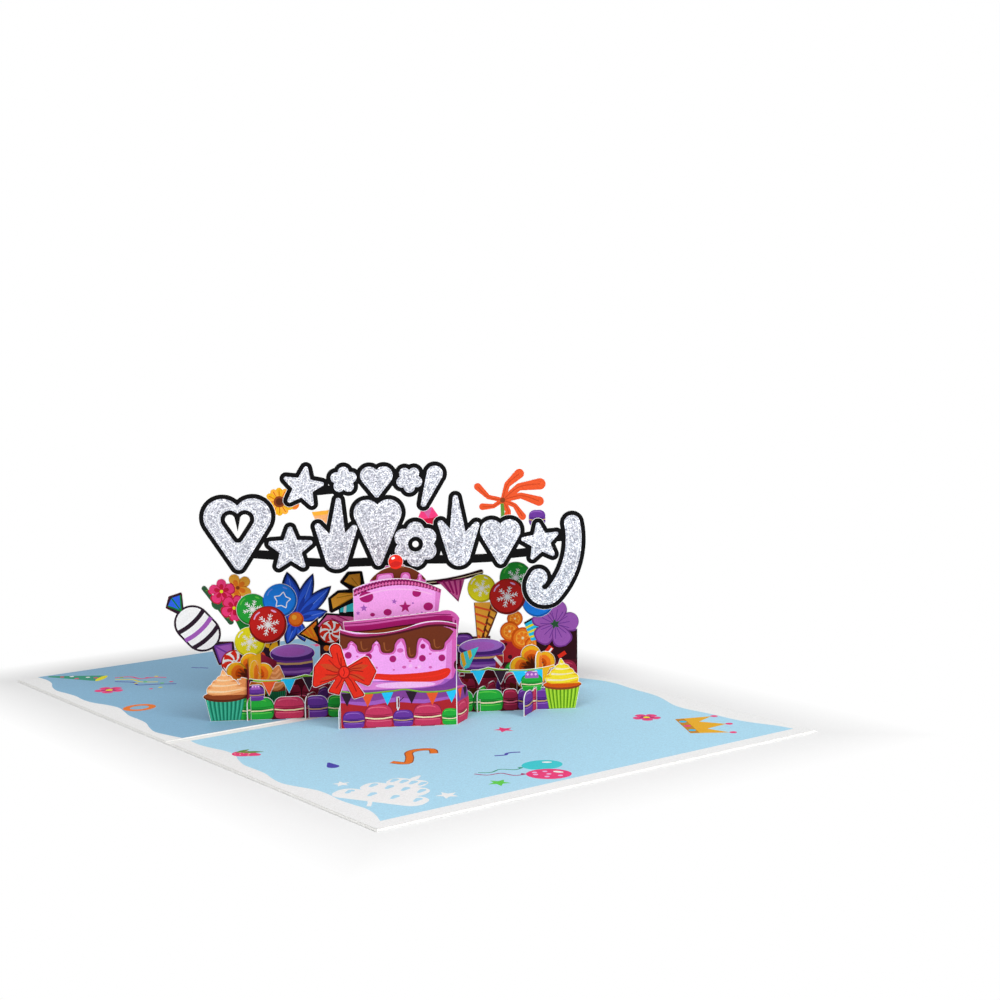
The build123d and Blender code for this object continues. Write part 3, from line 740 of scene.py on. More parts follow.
    def balloon(self, x: float, y: float, r: float, ink: Ink, shade: Ink, light: Ink,
                open_star: bool = False) -> None:
        """Round balloon with a shaded rim, a gleam and a frost star.

        Args:
            x: Middle, sideways.
            y: Middle, upwards.
            r: Radius.
            ink: Its colour.
            shade: Colour of its rim and shaded side.
            light: Colour of the gleam.
            open_star: Whether the star is an open outline in place of six arms.
        """
        self.lay(shade, ellipse(x, y, r, steps=36))
        self.lay(ink, ellipse(x - 0.04 * r, y + 0.05 * r, 0.9 * r, steps=36))
        gleam = [(x - 0.72 * r, y + 0.3 * r), (x - 0.62 * r, y + 0.52 * r), (x - 0.42 * r, y + 0.68 * r)]
        self.line(light, gleam, 0.07 * r)
        self.lay(light, ellipse(x + 0.3 * r, y + 0.72 * r, 0.16 * r, 0.05 * r, -25, 12))
        if open_star:
            ring = star(x + 0.12 * r, y, 0.5 * r, 0.6, 5, 80)
            self.lay(Ink.WHITE, *[strip([a, b], 0.06 * r) for a, b in zip(ring, ring[1:] + ring[:1])])
            return
        for k in range(6):
            a = math.radians(15 + 60 * k)
            self.lay(Ink.WHITE, strip([(x, y), polar(x, y, 0.6 * r, a)], 0.06 * r, 0.04 * r),
                     strip([(x, y), polar(x, y, 0.26 * r, a + 0.52)], 0.05 * r))
            for side in (-1, 1):
                for share in (0.26, 0.42):
                    fork = polar(x, y, share * r, a)
                    self.lay(Ink.WHITE, strip([fork, polar(*fork, 0.17 * r, a + side * 0.75)], 0.045 * r))

    def flower(self, x: float, y: float, directions: Iterable[float], reach: float, width: float, inks: tuple,
               core: Ink, core_radius: float) -> None:
        """Flower of petals that each have an edge, a body and a shaded root.

        Args:
            x: Middle, sideways.
            y: Middle, upwards.
            directions: Where the petals point, in degrees.
            reach: Length of a petal.
            width: Width of a petal.
            inks: Ink of the edge, the body and the root.
            core: Ink of the middle.
            core_radius: Radius of the middle.
        """
        edge, body, root = inks
        ways = list(directions)
        for way in ways:
            self.lay(edge, petal(x, y, way, reach, width))
            self.lay(body, petal(x, y, way, 0.93 * reach, 0.8 * width))
        for way in ways:
            self.lay(root, petal(x, y, way, 0.55 * reach, 0.34 * width))
        self.lay(core, ellipse(x, y, core_radius, steps=16))

    def cup(self, x: float, wide: float, narrow: float, low: float, high: float, inks: tuple) -> None:
        """Pleated paper cup with a light and a dark side to every pleat.

        Args:
            x: Its middle.
            wide: Width of its rim.
            narrow: Width of its foot.
            low: Height of its foot.
            high: Height of its rim.
            inks: Inks of the pleats, of their lit side and of their shaded side.
        """
        body, lit, shade = inks

        def across(share: float, level: float) -> Spot:
            """Gives a spot of the cup from its shares of width and height."""
            width = narrow + (wide - narrow) * level
            return x + share * width * (1 + 0.03 * math.sin(3.1 * level)), low + (high - low) * level

        self.lay(shade, [across(-0.5, 0), across(0.5, 0), across(0.5, 1), across(-0.5, 1)])
        pleats = 9
        for k in range(pleats):
            for start, end, ink in ((0.14, 0.86, body), (0.3, 0.6, lit)):
                a, b = (k + start) / pleats - 0.5, (k + end) / pleats - 0.5
                self.lay(ink, [across(a, 0.03), across(b, 0.03), across(b, 0.5), across(b, 1), across(a, 1),
                               across(a, 0.5)])

    def pin_balloon(self, spot: tuple, ink: Ink, shade: Ink, dotted: bool = False) -> None:
        """Small flat balloon with its string.

        Args:
            spot: Place of its middle, half its width and its turn in degrees.
            ink: Its ink.
            shade: Ink of its knot and string.
            dotted: Whether it has pale dots.
        """
        thread = smooth([(0, -1.2), (0.25, -1.8), (-0.2, -2.5), (0.15, -3.2), (-0.1, -3.9)])
        self.stamp(spot, shade, strip(thread, 0.12), [(-0.2, -1.45), (0.2, -1.45), (0, -1.1)])
        self.stamp(spot, ink, ellipse(0, 0, 1.0, 1.2))
        self.stamp(spot, Ink.WHITE, ellipse(-0.4, 0.5, 0.16, 0.3, -25, 10))
        if dotted:
            dots = ((0.3, 0.6), (0.0, 0.0), (0.5, -0.1), (-0.5, -0.2), (0.1, -0.7), (-0.3, -0.75))
            self.stamp(spot, Ink.CAKE_PALE, *[ellipse(u, v, 0.14, steps=10) for u, v in dots])

    def gift(self, spot: tuple, paper: Ink, ribbon: Ink) -> None:
        """Wrapped box with a bow, seen from the front.

        Args:
            spot: Place of its foot, its width and its turn in degrees.
            paper: Ink of the paper.
            ribbon: Ink of the ribbon.
        """
        self.stamp(spot, paper, box(-0.5, 0.5, 0.0, 0.66))
        self.stamp(spot, Ink.WHITE, box(-0.54, 0.54, 0.64, 0.68))
        self.stamp(spot, paper, box(-0.55, 0.55, 0.68, 0.84))
        self.stamp(spot, ribbon, box(-0.09, 0.09, 0.0, 0.84),
                   *[drop(0.0, 0.86, 0.05, u, 1.06, 0.13) for u in (-0.3, 0.3)])

    def cupcake(self, x: float, width: float, height: float, cup_height: float, cream: tuple, rim: tuple,
                cup: tuple) -> None:
        """Cupcake: swirl of cream over a cake's rim in a pleated paper cup.

        Args:
            x: Its middle.
            width: Width at the rim.
            height: Height of the tip.
            cup_height: Height of the cup.
            cream: Inks of the cream: body, light and shade.
            rim: Inks of the cake's rim: body and shade.
            cup: Inks of the cup: pleat, its light and its shade.
        """
        top = height - cup_height

        def at(across: float, level: float) -> Spot:
            """Gives a spot from its shares of the width and of the height over the cup."""
            return x + across * width, cup_height + level * top

        self.cup(x, 0.92 * width, 0.68 * width, 0.0, cup_height, cup)
        self.lay(rim[1], ellipse(x, cup_height, width / 2, 0.135 * width))
        self.lay(rim[0], ellipse(x, cup_height + 0.5, 0.49 * width, 0.11 * width))
        self.lay(cream[2], box(x - 0.5 * width, x + 0.5 * width, cup_height + 0.04 * top, height + 1))
        self.lay(rim[0], [at(-0.5, 0), at(0.5, 0), at(0.5, 0.2), at(0.2, 0.05), at(-0.2, 0), at(-0.5, 0.16)])
        for low, wide, high in ((0.14, 0.44, 0.4), (0.36, 0.34, 0.58), (0.56, 0.23, 0.76),
                                (0.75, 0.12, 0.98)):
            (left, _), (right, _) = at(-wide, 0), at(wide, 0)
            roll = [at(-wide, low), at(0, low - 0.08), at(wide, low + 0.06),
                    (right + 0.3, at(0, high - 0.08)[1]), at(0, high - 0.03),
                    (left - 0.1, at(0, low + 0.14)[1])]
            gleam = [(left + 0.06 * width, at(0, low + 0.06)[1]), at(0, low + 0.03),
                     (right - 0.05 * width, at(0, high - 0.14)[1])]
            self.lay(cream[0], smooth(roll, 3))
            self.lay(cream[1], strip(smooth(gleam, 4), 0.9, 0.3))


class Macaron(Enum):
    """Flavours of macaron: shell, shade, light and filling."""

    GREEN = (Ink.GREEN, Ink.GREEN_SHADE, Ink.GREEN_LIGHT, Ink.CREAM)
    CRIMSON = (Ink.CRIMSON, Ink.CRIMSON_SHADE, Ink.CRIMSON_LIGHT, Ink.CREAM)
    PURPLE = (Ink.PURPLE, Ink.PURPLE_SHADE, Ink.PURPLE_LIGHT, Ink.TAN)
    WINE = (Ink.CRIMSON_SHADE, Ink.MAROON, Ink.CRIMSON, Ink.CRIMSON_LIGHT)


# Where the sheets stand, and how their sides are cut into fields

NORMAL_MATCH = 0.995  # least agreement of a triangle's normal with the sheet's front
SHARPEST = 0.4  # rim corners sharper than this keep their place
SMALLEST_TRIANGLE = 1e-7
SMALLEST_FIELD = 1e-4
MERGE_WITHIN = 1e-5
INSIDE_ONLY = 1  # keeps the triangles that lie inside an outline


@dataclass(frozen=True)
class SheetPlane:
    """A sheet's own directions: right and up as it is read, and the way its front faces."""

    right: Vector
    up: Vector
    front: Vector
    base: Vector


@dataclass(frozen=True)
class Lattice:
    """The two families of upright sheets, at equal angles to the fold, as the solids have them."""

    angle: float = 31.0
    pitch: float = 21.0
    seat: float = 0.7

    def facing(self) -> SheetPlane:
        """Gives the directions of the sheets that face the reader.

        Returns:
            Their plane, through the grid's middle.
        """
        c, s = math.cos(math.radians(self.angle)), math.sin(math.radians(self.angle))
        return SheetPlane(Vector((c, -s, 0)), Vector((0, 0, 1)), Vector((-s, -c, 0)),
                          Vector((0, 0, self.seat)))

    def crossing(self) -> SheetPlane:
        """Gives the directions of the sheets that cross them."""
        c, s = math.cos(math.radians(self.angle)), math.sin(math.radians(self.angle))
        return SheetPlane(Vector((c, s, 0)), Vector((0, 0, 1)), Vector((s, -c, 0)), Vector((0, 0, self.seat)))

    def on_crossing(self, away: float, across: float) -> float:
        """Tells where a facing sheet meets a crossing one, measured along the crossing one."""
        double = math.radians(2 * self.angle)
        return away / math.sin(double) - across / math.tan(double)


FLAT = SheetPlane(Vector((1, 0, 0)), Vector((0, 1, 0)), Vector((0, 0, 1)), Vector((0, 0, 0)))


class Side(Enum):
    """Sides of a sheet."""

    FRONT = 1
    BACK = -1


@dataclass
class Region:
    """One flat side of a sheet in its own coordinates: triangles, rim and its height along the front."""

    corners: list[Spot]
    triangles: list[tuple[int, int, int]]
    rim: list[tuple[int, int]]
    level: float


def read_region(node: bpy.types.Object, plane: SheetPlane, side: Side) -> Region:
    """Reads a flat side of a CAD sheet.

    Args:
        node: The sheet's CAD node.
        plane: Its directions.
        side: The side to read.

    Returns:
        The side's triangles and rim.
    """
    mesh = node.data
    mesh.calc_loop_triangles()
    index: dict[Spot, int] = {}
    corners: list[Spot] = []
    triangles, levels = [], []
    for triangle in mesh.loop_triangles:
        if triangle.normal.dot(plane.front) * side.value < NORMAL_MATCH:
            continue
        ids = []
        for k in triangle.vertices:
            place = mesh.vertices[k].co / MM - plane.base
            spot = (round(place.dot(plane.right), 4), round(place.dot(plane.up), 4))
            levels.append(place.dot(plane.front))
            if spot not in index:
                index[spot] = len(corners)
                corners.append(spot)
            ids.append(index[spot])
        (ax, ay), (bx, by), (cx, cy) = (corners[k] for k in ids)
        area = (bx - ax) * (cy - ay) - (by - ay) * (cx - ax)
        if abs(area) > SMALLEST_TRIANGLE:
            triangles.append(tuple(ids) if area > 0 else tuple(reversed(ids)))
    used = {(a, b) for t in triangles for a, b in zip(t, t[1:] + t[:1])}
    rim = [(a, b) for a, b in used if (b, a) not in used]
    return Region(corners, triangles, rim, sum(levels) / max(1, len(levels)))


def rim_quads(region: Region, near: float, far: float) -> list[Outline]:
    """Strips along a region's rim, inside it.

    Args:
        region: The flat side.
        near: Distance of the strips' outer edge from the rim.
        far: Distance of their inner edge.

    Returns:
        One outline for each edge of the rim.
    """
    ahead = {a: b for a, b in region.rim}
    behind = {b: a for a, b in region.rim}

    def moved(k: int, distance: float) -> Spot:
        """Moves a rim corner inwards along its bisector.

        Args:
            k: Number of the corner.
            distance: How far it moves.

        Returns:
            Where the corner comes to lie.
        """
        x, y = region.corners[k]
        normals = []
        for a, b in ((behind.get(k, k), k), (k, ahead.get(k, k))):
            dx = region.corners[b][0] - region.corners[a][0]
            dy = region.corners[b][1] - region.corners[a][1]
            length = math.hypot(dx, dy)
            if length > 0:
                normals.append((-dy / length, dx / length))
        u, v = sum(n[0] for n in normals), sum(n[1] for n in normals)
        size = math.hypot(u, v)
        if size < SHARPEST:
            return x, y
        reach = distance * min(2.0, 2.0 / size) / size
        return x + u * reach, y + v * reach

    quads = []
    for a, b in region.rim:
        outer = [moved(a, near), moved(b, near)] if near > 0 else [region.corners[a], region.corners[b]]
        inner = [moved(b, far), moved(a, far)]
        (ax, ay), (bx, by) = region.corners[a], region.corners[b]
        along = [(end[0] - start[0]) * (bx - ax) + (end[1] - start[1]) * (by - ay)
                 for start, end in ((outer[0], outer[1]), (inner[1], inner[0]))]
        if along[0] <= 0:
            continue
        if along[1] <= 0:
            inner = [((inner[0][0] + inner[1][0]) / 2, (inner[0][1] + inner[1][1]) / 2)]
        quads.append([*outer, *inner])
    return quads


def signed_area(outline: Outline) -> float:
    """Gives twice an outline's area, positive where it runs anticlockwise."""
    return sum(a[0] * b[1] - b[0] * a[1] for a, b in zip(outline, outline[1:] + outline[:1]))


@dataclass
class Printed:
    """A side's faces with the ink of each."""

    corners: list[Spot]
    faces: list[tuple[int, ...]]
    inks: list[Ink]


def press(region: Region, art: Artwork, margin: float) -> Printed:
    """Cuts a side into fields of ink: the last field that covers a face gives its ink.

    Args:
        region: The flat side.
        art: What is printed on it.
        margin: Unprinted width along the rim.

    Returns:
        The printed faces.
    """
    points = [Vector(spot) for spot in region.corners]
    faces: list[list[int]] = [list(t) for t in region.triangles]
    owners: list[object] = [None] * len(faces)

    def put(outline: Outline, owner: object) -> None:
        """Adds an outline to what is cut.

        Args:
            outline: The outline.
            owner: What its triangles belong to.
        """
        if abs(signed_area(outline)) < SMALLEST_FIELD:
            return
        ring = outline if signed_area(outline) > 0 else outline[::-1]
        start = len(points)
        points.extend(Vector(spot) for spot in ring)
        faces.append(list(range(start, start + len(ring))))
        owners.append(owner)

    lows = [min(c[i] for c in region.corners) for i in (0, 1)]
    highs = [max(c[i] for c in region.corners) for i in (0, 1)]
    for ink, outline in art.fields:
        if all(max(p[i] for p in outline) > lows[i] and min(p[i] for p in outline) < highs[i]
               for i in (0, 1)):
            put(outline, ink)
    if art.edge is not None:
        for quad in rim_quads(region, margin / 2, margin + art.edge[1]):
            put(quad, art.edge[0])
    for quad in rim_quads(region, 0.0, margin):
        put(quad, "margin")
    spots, _, cut, _, _, origins = delaunay_2d_cdt(points, [], faces, INSIDE_ONLY, MERGE_WITHIN, True)
    kept, inks = [], []
    for face, ids in zip(cut, origins):
        if not any(k < len(region.triangles) for k in ids):
            continue
        owner = owners[max(ids)]
        if owner == "margin":
            continue
        ink = owner if isinstance(owner, Ink) else art.base
        if ink is not None:
            kept.append(tuple(face))
            inks.append(ink)
    used = sorted({k for face in kept for k in face})
    renumber = {k: n for n, k in enumerate(used)}
    return Printed([tuple(spots[k]) for k in used], [tuple(renumber[k] for k in f) for f in kept], inks)


@dataclass
class Press:
    """Prints artwork on CAD sheets and keeps count."""

    nodes: dict
    lift: float = 0.05
    margin: float = 0.16
    made: int = 0

    def sheet(self, name: str, parts: list[tuple[SheetPlane, tuple[Side, ...], Artwork]],
              slot: str = "printed_card",
              margin: Optional[float] = None) -> None:
        """Makes the print of one sheet, all its sides in one piece.

        Args:
            name: The sheet's CAD node.
            parts: A plane, its printed sides and their artwork, for each flat part of the sheet.
            slot: Not used.
            margin: Unprinted width along the rim, or the press's own.
        """
        corners: list[Vector] = []
        faces: list[tuple[int, ...]] = []
        inks: list[Ink] = []
        for plane, sides, art in parts:
            regions = {side: read_region(self.nodes[name], plane, side) for side in sides}
            printed = press(regions[sides[0]], art, self.margin if margin is None else margin)
            for side, region in regions.items():
                start = len(corners)
                out = plane.front * (region.level + side.value * self.lift)
                corners += [(plane.base + plane.right * s + plane.up * h + out) * MM
                            for s, h in printed.corners]
                faces += [tuple(start + k for k in face[::side.value]) for face in printed.faces]
                inks += printed.inks
        mesh = bpy.data.meshes.new(f"print_{name}")
        mesh.from_pydata([tuple(c) for c in corners], [], faces)
        slots = list(dict.fromkeys(inks))
        for ink in slots:
            mesh.materials.append(PrintedCard(ink).material())
        for polygon, ink in zip(mesh.polygons, inks):
            polygon.material_index = slots.index(ink)
        mesh.update()
        piece = new_object(f"print_{name}", mesh)
        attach(piece, "root")
        self.made += 1
        LOG.info("print_%s: %d faces, %d inks", name, len(faces), len(slots))

    def both(self, name: str, plane: SheetPlane, art: Artwork, slot: str) -> None:
        """Prints the same artwork on both sides of a sheet."""
        self.sheet(name, [(plane, tuple(Side), art)], slot)


@dataclass
class Section:
    """Part of the card that is dressed by itself: what prints it and where its sheets stand."""

    printer: Press
    lattice: Lattice

    def face(self, sheets: dict[str, Artwork], slot: str = "printed_card") -> None:
        """Prints sheets that face the reader, each with its artwork on both sides."""
        for name, art in sheets.items():
            self.printer.both(name, self.lattice.facing(), art, slot)


# Base


@dataclass
class Base(Section):
    """Folded cover with its two printed linings."""

    length: float = 210.0
    panel: float = 148.5
    inset: float = 0.6
    bare_strip: float = 5.5
    even_margin: float = 7.0
    wave_margin: float = 8.0
    lining_rim: float = 0.1
    cover_rim: float = 0.25

    def sea(self, side: int, end_margin: float) -> Outline:
        """Outline of the pale blue field of one panel, with wavy sides.

        Args:
            side: 1 on the far panel and -1 on the near one.
            end_margin: Bare width at the panel's outer end.

        Returns:
            The outline.
        """
        ends = (self.bare_strip / 2 + 0.4, self.panel - self.inset - end_margin)
        half = self.length / 2
        left, right = [], []
        for k in range(19):
            y = side * (ends[0] + (ends[1] - ends[0]) * k / 18)
            left_x = (-half + self.wave_margin + 2.6 * math.sin(0.071 * y + 3.4)
                      + 1.2 * math.sin(0.19 * y + 1.0))
            right_x = (half - 1.3 * self.wave_margin + 4.4 * math.sin(0.058 * y + 3.9)
                       + 1.0 * math.sin(0.17 * y))
            left.append((left_x, y))
            right.append((right_x, y))
        return smooth(left) + smooth(right)[::-1]

    def near_art(self) -> Artwork:
        """Print of the near lining: pale blue with a white rim and loose party shapes.

        Returns:
            The artwork.
        """
        art = Artwork(Ink.WHITE)
        art.lay(Ink.SKY, self.sea(-1, self.even_margin))
        cake = (-73, -112, 19, -62)
        for low, high, half in ((-0.9, -0.3, 0.95), (-0.3, 0.25, 0.68), (0.25, 0.7, 0.4)):
            art.stamp(cake, Ink.WHITE, loaf(-half, half, low, high + 0.04, 0.4))
            middles = [half * (k - 1.5) / 2 for k in range(4)]
            art.stamp(cake, Ink.SKY, *[drop(u, high - 0.1, 0.07, u, high - 0.26, 0.04) for u in middles])
        art.stamp(cake, Ink.WHITE, drop(0, 0.8, 0.08, 0, 1.0, 0.03))
        art.lay(Ink.WHITE, star(-63, -130, 4.4, start=84), star(-84, -94, 3.4, start=70))
        art.line(Ink.WHITE, [(-92, -124), (-88, -118), (-90, -111), (-86, -105)], 1.6)
        art.pin_balloon((-12.2, -119.7, 6.6, -103), Ink.TURQUOISE, Ink.TEAL)
        art.pin_balloon((-18.1, -131.1, 7.0, -128), Ink.HOT_PINK, Ink.MAGENTA, dotted=True)
        art.lay(Ink.HOT_PINK, star(9.6, -67.9, 4.4, start=78))
        art.lay(Ink.GREEN_LIGHT, star(-39.3, -128.8, 4.4, start=100))
        art.line(Ink.VIOLET, [(-18, -98.1), (-14, -99.6), (-12.3, -98.2), (-9.6, -98.4), (-7, -99.9)], 1.3)
        snake = [(-53.3, -80.5), (-49.7, -85.4), (-44.6, -80.0), (-40.5, -73.5), (-35.7, -72.1), (-31.0, -75),
                 (-33.6, -80.4)]
        art.line(Ink.BROWN, snake, 3.4)
        art.line(Ink.ORANGE, snake, 2.6)
        art.lay(Ink.VIOLET, drop(-73.5, -71.6, 2.4, -72.2, -66.4, 0.5))
        art.rimmed(Ink.MAGENTA, 0.3, Ink.HOT_PINK, drop(-90.6, -33.6, 4.0, -87.2, -38.4, 1.8))
        art.lay(Ink.LEAF, leaf(-90.6, -31.2, -82.6, -36.4, 1.4), leaf(-92.0, -31.0, -85.2, -29.6, 1.2))
        art.scatter(Ink.CREAM, -93, -88, -38, -31, 0.5, 6, 3)
        self.pink_flower(art, 67.3, -89.1, 6.0, 4.6, 1.4)
        crown = (75.0, -113.0, 12.0, -118)
        art.stamp(crown, Ink.GOLD, [(-1, -0.6), (1, -0.6), (1.15, 0.7), (0.5, 0.1), (0, 0.9), (-0.5, 0.1),
                                    (-1.15, 0.7)])
        art.stamp(crown, Ink.GOLD_SHADE, box(-1, 1, -0.62, -0.3))
        for u, v, ink in ((1.15, 0.8, Ink.HOT_PINK), (0, 1.0, Ink.HOT_PINK), (-1.15, 0.8, Ink.HOT_PINK),
                          (-0.6, -0.45, Ink.CYAN), (0.0, -0.45, Ink.HOT_PINK), (0.6, -0.45, Ink.CYAN)):
            art.stamp(crown, ink, ellipse(u, v, 0.13, steps=12))
        return art

    def far_art(self) -> Artwork:
        """Print of the far lining: its blue darkened as painted shade of the pop-up's shadow, with a party
        popper, its streamers and loose shapes.

        Returns:
            The artwork.
        """
        art = Artwork(Ink.WHITE)
        # Field of the far lining: the pale blue darkened as painted shade of the pop-up's shadow.
        art.lay(Ink.SKY_SHADE, self.sea(1, 0.0))
        popper = (-90.9, 145.9, 9.6, 222)
        art.stamp(popper, Ink.TEAL, [(-0.1, 0), (0.1, 0), (0.62, 2.7), (-0.62, 2.7)])
        for k in range(5):
            art.stamp(popper, Ink.SNOW if k % 2 else Ink.HOT_PINK,
                      ellipse(0.22 * math.sin(4 * k), 0.7 + 0.42 * k, 0.11, steps=10))
        art.stamp(popper, Ink.YELLOW, ellipse(0, 2.7, 0.62, 0.18))
        for ink, spots in ((Ink.HOT_PINK, ((-68.4, 123.5), (-62, 121), (-60, 114), (-54, 113),
                                           (-49.8, 108.8))),
                           (Ink.YELLOW, ((-70, 120), (-64, 115), (-63, 108), (-57, 103))),
                           (Ink.VIOLET, ((-72, 116), (-66, 109), (-67, 103), (-60, 99), (-52.4, 94))),
                           (Ink.VIOLET, ((-30.6, 121), (-28.6, 118.4), (-27.2, 117.4), (-25.2, 114.6)))):
            art.line(ink, spots, 1.2)
        for k in range(9):
            art.lay((Ink.HOT_PINK, Ink.YELLOW, Ink.GREEN_LIGHT)[k % 3],
                    ellipse(-66 + 4.6 * (k % 4), 92 + 7.4 * (k // 2) % 38, 1.0, steps=10))
        self.pink_flower(art, -81.5, 101.8, 6.6, 5.0, 1.6)
        art.lay(Ink.ORANGE, ellipse(-86.4, 62.2, 7.2, 6.0))
        # The ring's hole shows the same painted-shade blue as the field.
        art.lay(Ink.SKY_SHADE, ellipse(-86.4, 62.2, 4.2, 3.2))
        art.pin_balloon((62.0, 112.0, 7.0, 12), Ink.CORAL, Ink.RED_SHADE)
        art.pin_balloon((74.0, 98.0, 6.4, -10), Ink.TURQUOISE, Ink.TEAL, dotted=True)
        art.gift((20.0, 116.0, 17.0, 8), Ink.LIME, Ink.HOT_PINK)
        art.lay(Ink.YELLOW, star(-4.0, 122.0, 6.0))
        art.lay(Ink.HOT_PINK, star(44.0, 128.0, 5.0, start=70))
        return art

    def outside_art(self) -> Artwork:
        """Print of the outside, the underside of the opened card: the same party on both panels.

        Returns:
            The artwork.
        """
        art = Artwork(Ink.SKY)
        art.scatter(Ink.SKY_PALE, -100, 100, -144, 144, 6.0, 60, 7)
        art.scatter(Ink.SKY_SHADE, -100, 100, -144, 144, 3.2, 60, 8)
        balloons = ((Ink.BALLOON_RED, Ink.BALLOON_RED_SHADE), (Ink.YELLOW, Ink.GOLD_SHADE),
                    (Ink.GREEN, Ink.GREEN_SHADE))
        tiers = ((46, 16, Ink.CAKE_PINK), (34, 14, Ink.CAKE_PALE), (22, 12, Ink.CAKE_PINK))
        for y, turn, way in ((-74, 0, 1), (74, 180, -1)):
            cake = (2 * way, y, 1.0, turn)
            for k, inks in enumerate(balloons):
                art.pin_balloon((way * (-62 + 17 * k), y + way * (30 + 7 * (k % 2)), 8.0,
                                 turn + 10 - 10 * k), *inks)
            art.gift((way * -45, y - way * 38, 26.0, turn), Ink.GREEN, Ink.RED)
            art.gift((way * 52, y - way * 40, 22.0, turn), Ink.TURQUOISE, Ink.GOLD)
            for k, (w, h, ink) in enumerate(tiers):
                low = -40 + 15 * k
                art.stamp(cake, ink, box(-w / 2, w / 2, low, low + h))
                hangs = [((n - 2) * w / 5, w / 11, low + h - 3, low + h - 5 - 2 * (n % 2)) for n in range(5)]
                art.stamp(cake, Ink.CHOCOLATE, drips([(-w / 2, low + h), (w / 2, low + h)], hangs))
            art.stamp(cake, Ink.CHERRY, ellipse(0, 7.5, 3.6))
            for x, v, reach in ((66, 20, 13), (-72, -8, 11), (30, 42, 10)):
                art.flower(way * x, y + way * v, fan(turn + 18), reach, 0.62 * reach,
                           (Ink.ROYAL_SHADE, Ink.ROYAL, Ink.ROYAL_SHADE), Ink.ORANGE, 0.22 * reach)
            wave = ((-30, 52), (-18, 44), (-4, 54), (10, 45), (22, 56))
            art.line(Ink.GOLD, [(way * u, y + way * v) for u, v in wave], 2.4)
            art.lay(Ink.WHITE, star(way * -8, y + way * 33, 7.5), star(way * 46, y + way * 8, 5.5))
        return art

    def build(self) -> None:
        """Prints the linings on their upper side and the cover on its underside."""
        for name, side, art, slot, margin in (
                ("near_lining", Side.FRONT, self.near_art(), "lining_paper", self.lining_rim),
                ("far_lining", Side.FRONT, self.far_art(), "lining_paper", self.lining_rim),
                ("cover", Side.BACK, self.outside_art(), "cover_board", self.cover_rim)):
            self.printer.sheet(name, [(FLAT, (side,), art)], slot, margin)

    def pink_flower(self, art: Artwork, x: float, y: float, reach: float, width: float, core: float) -> None:
        """Adds a small pink flower: its middle, its petals' length and width, and its core's radius."""
        art.flower(x, y, fan(18), reach, width, (Ink.PINK_STRIPE, Ink.HOT_PINK, Ink.MAGENTA), Ink.YELLOW,
                   core)


# Cake


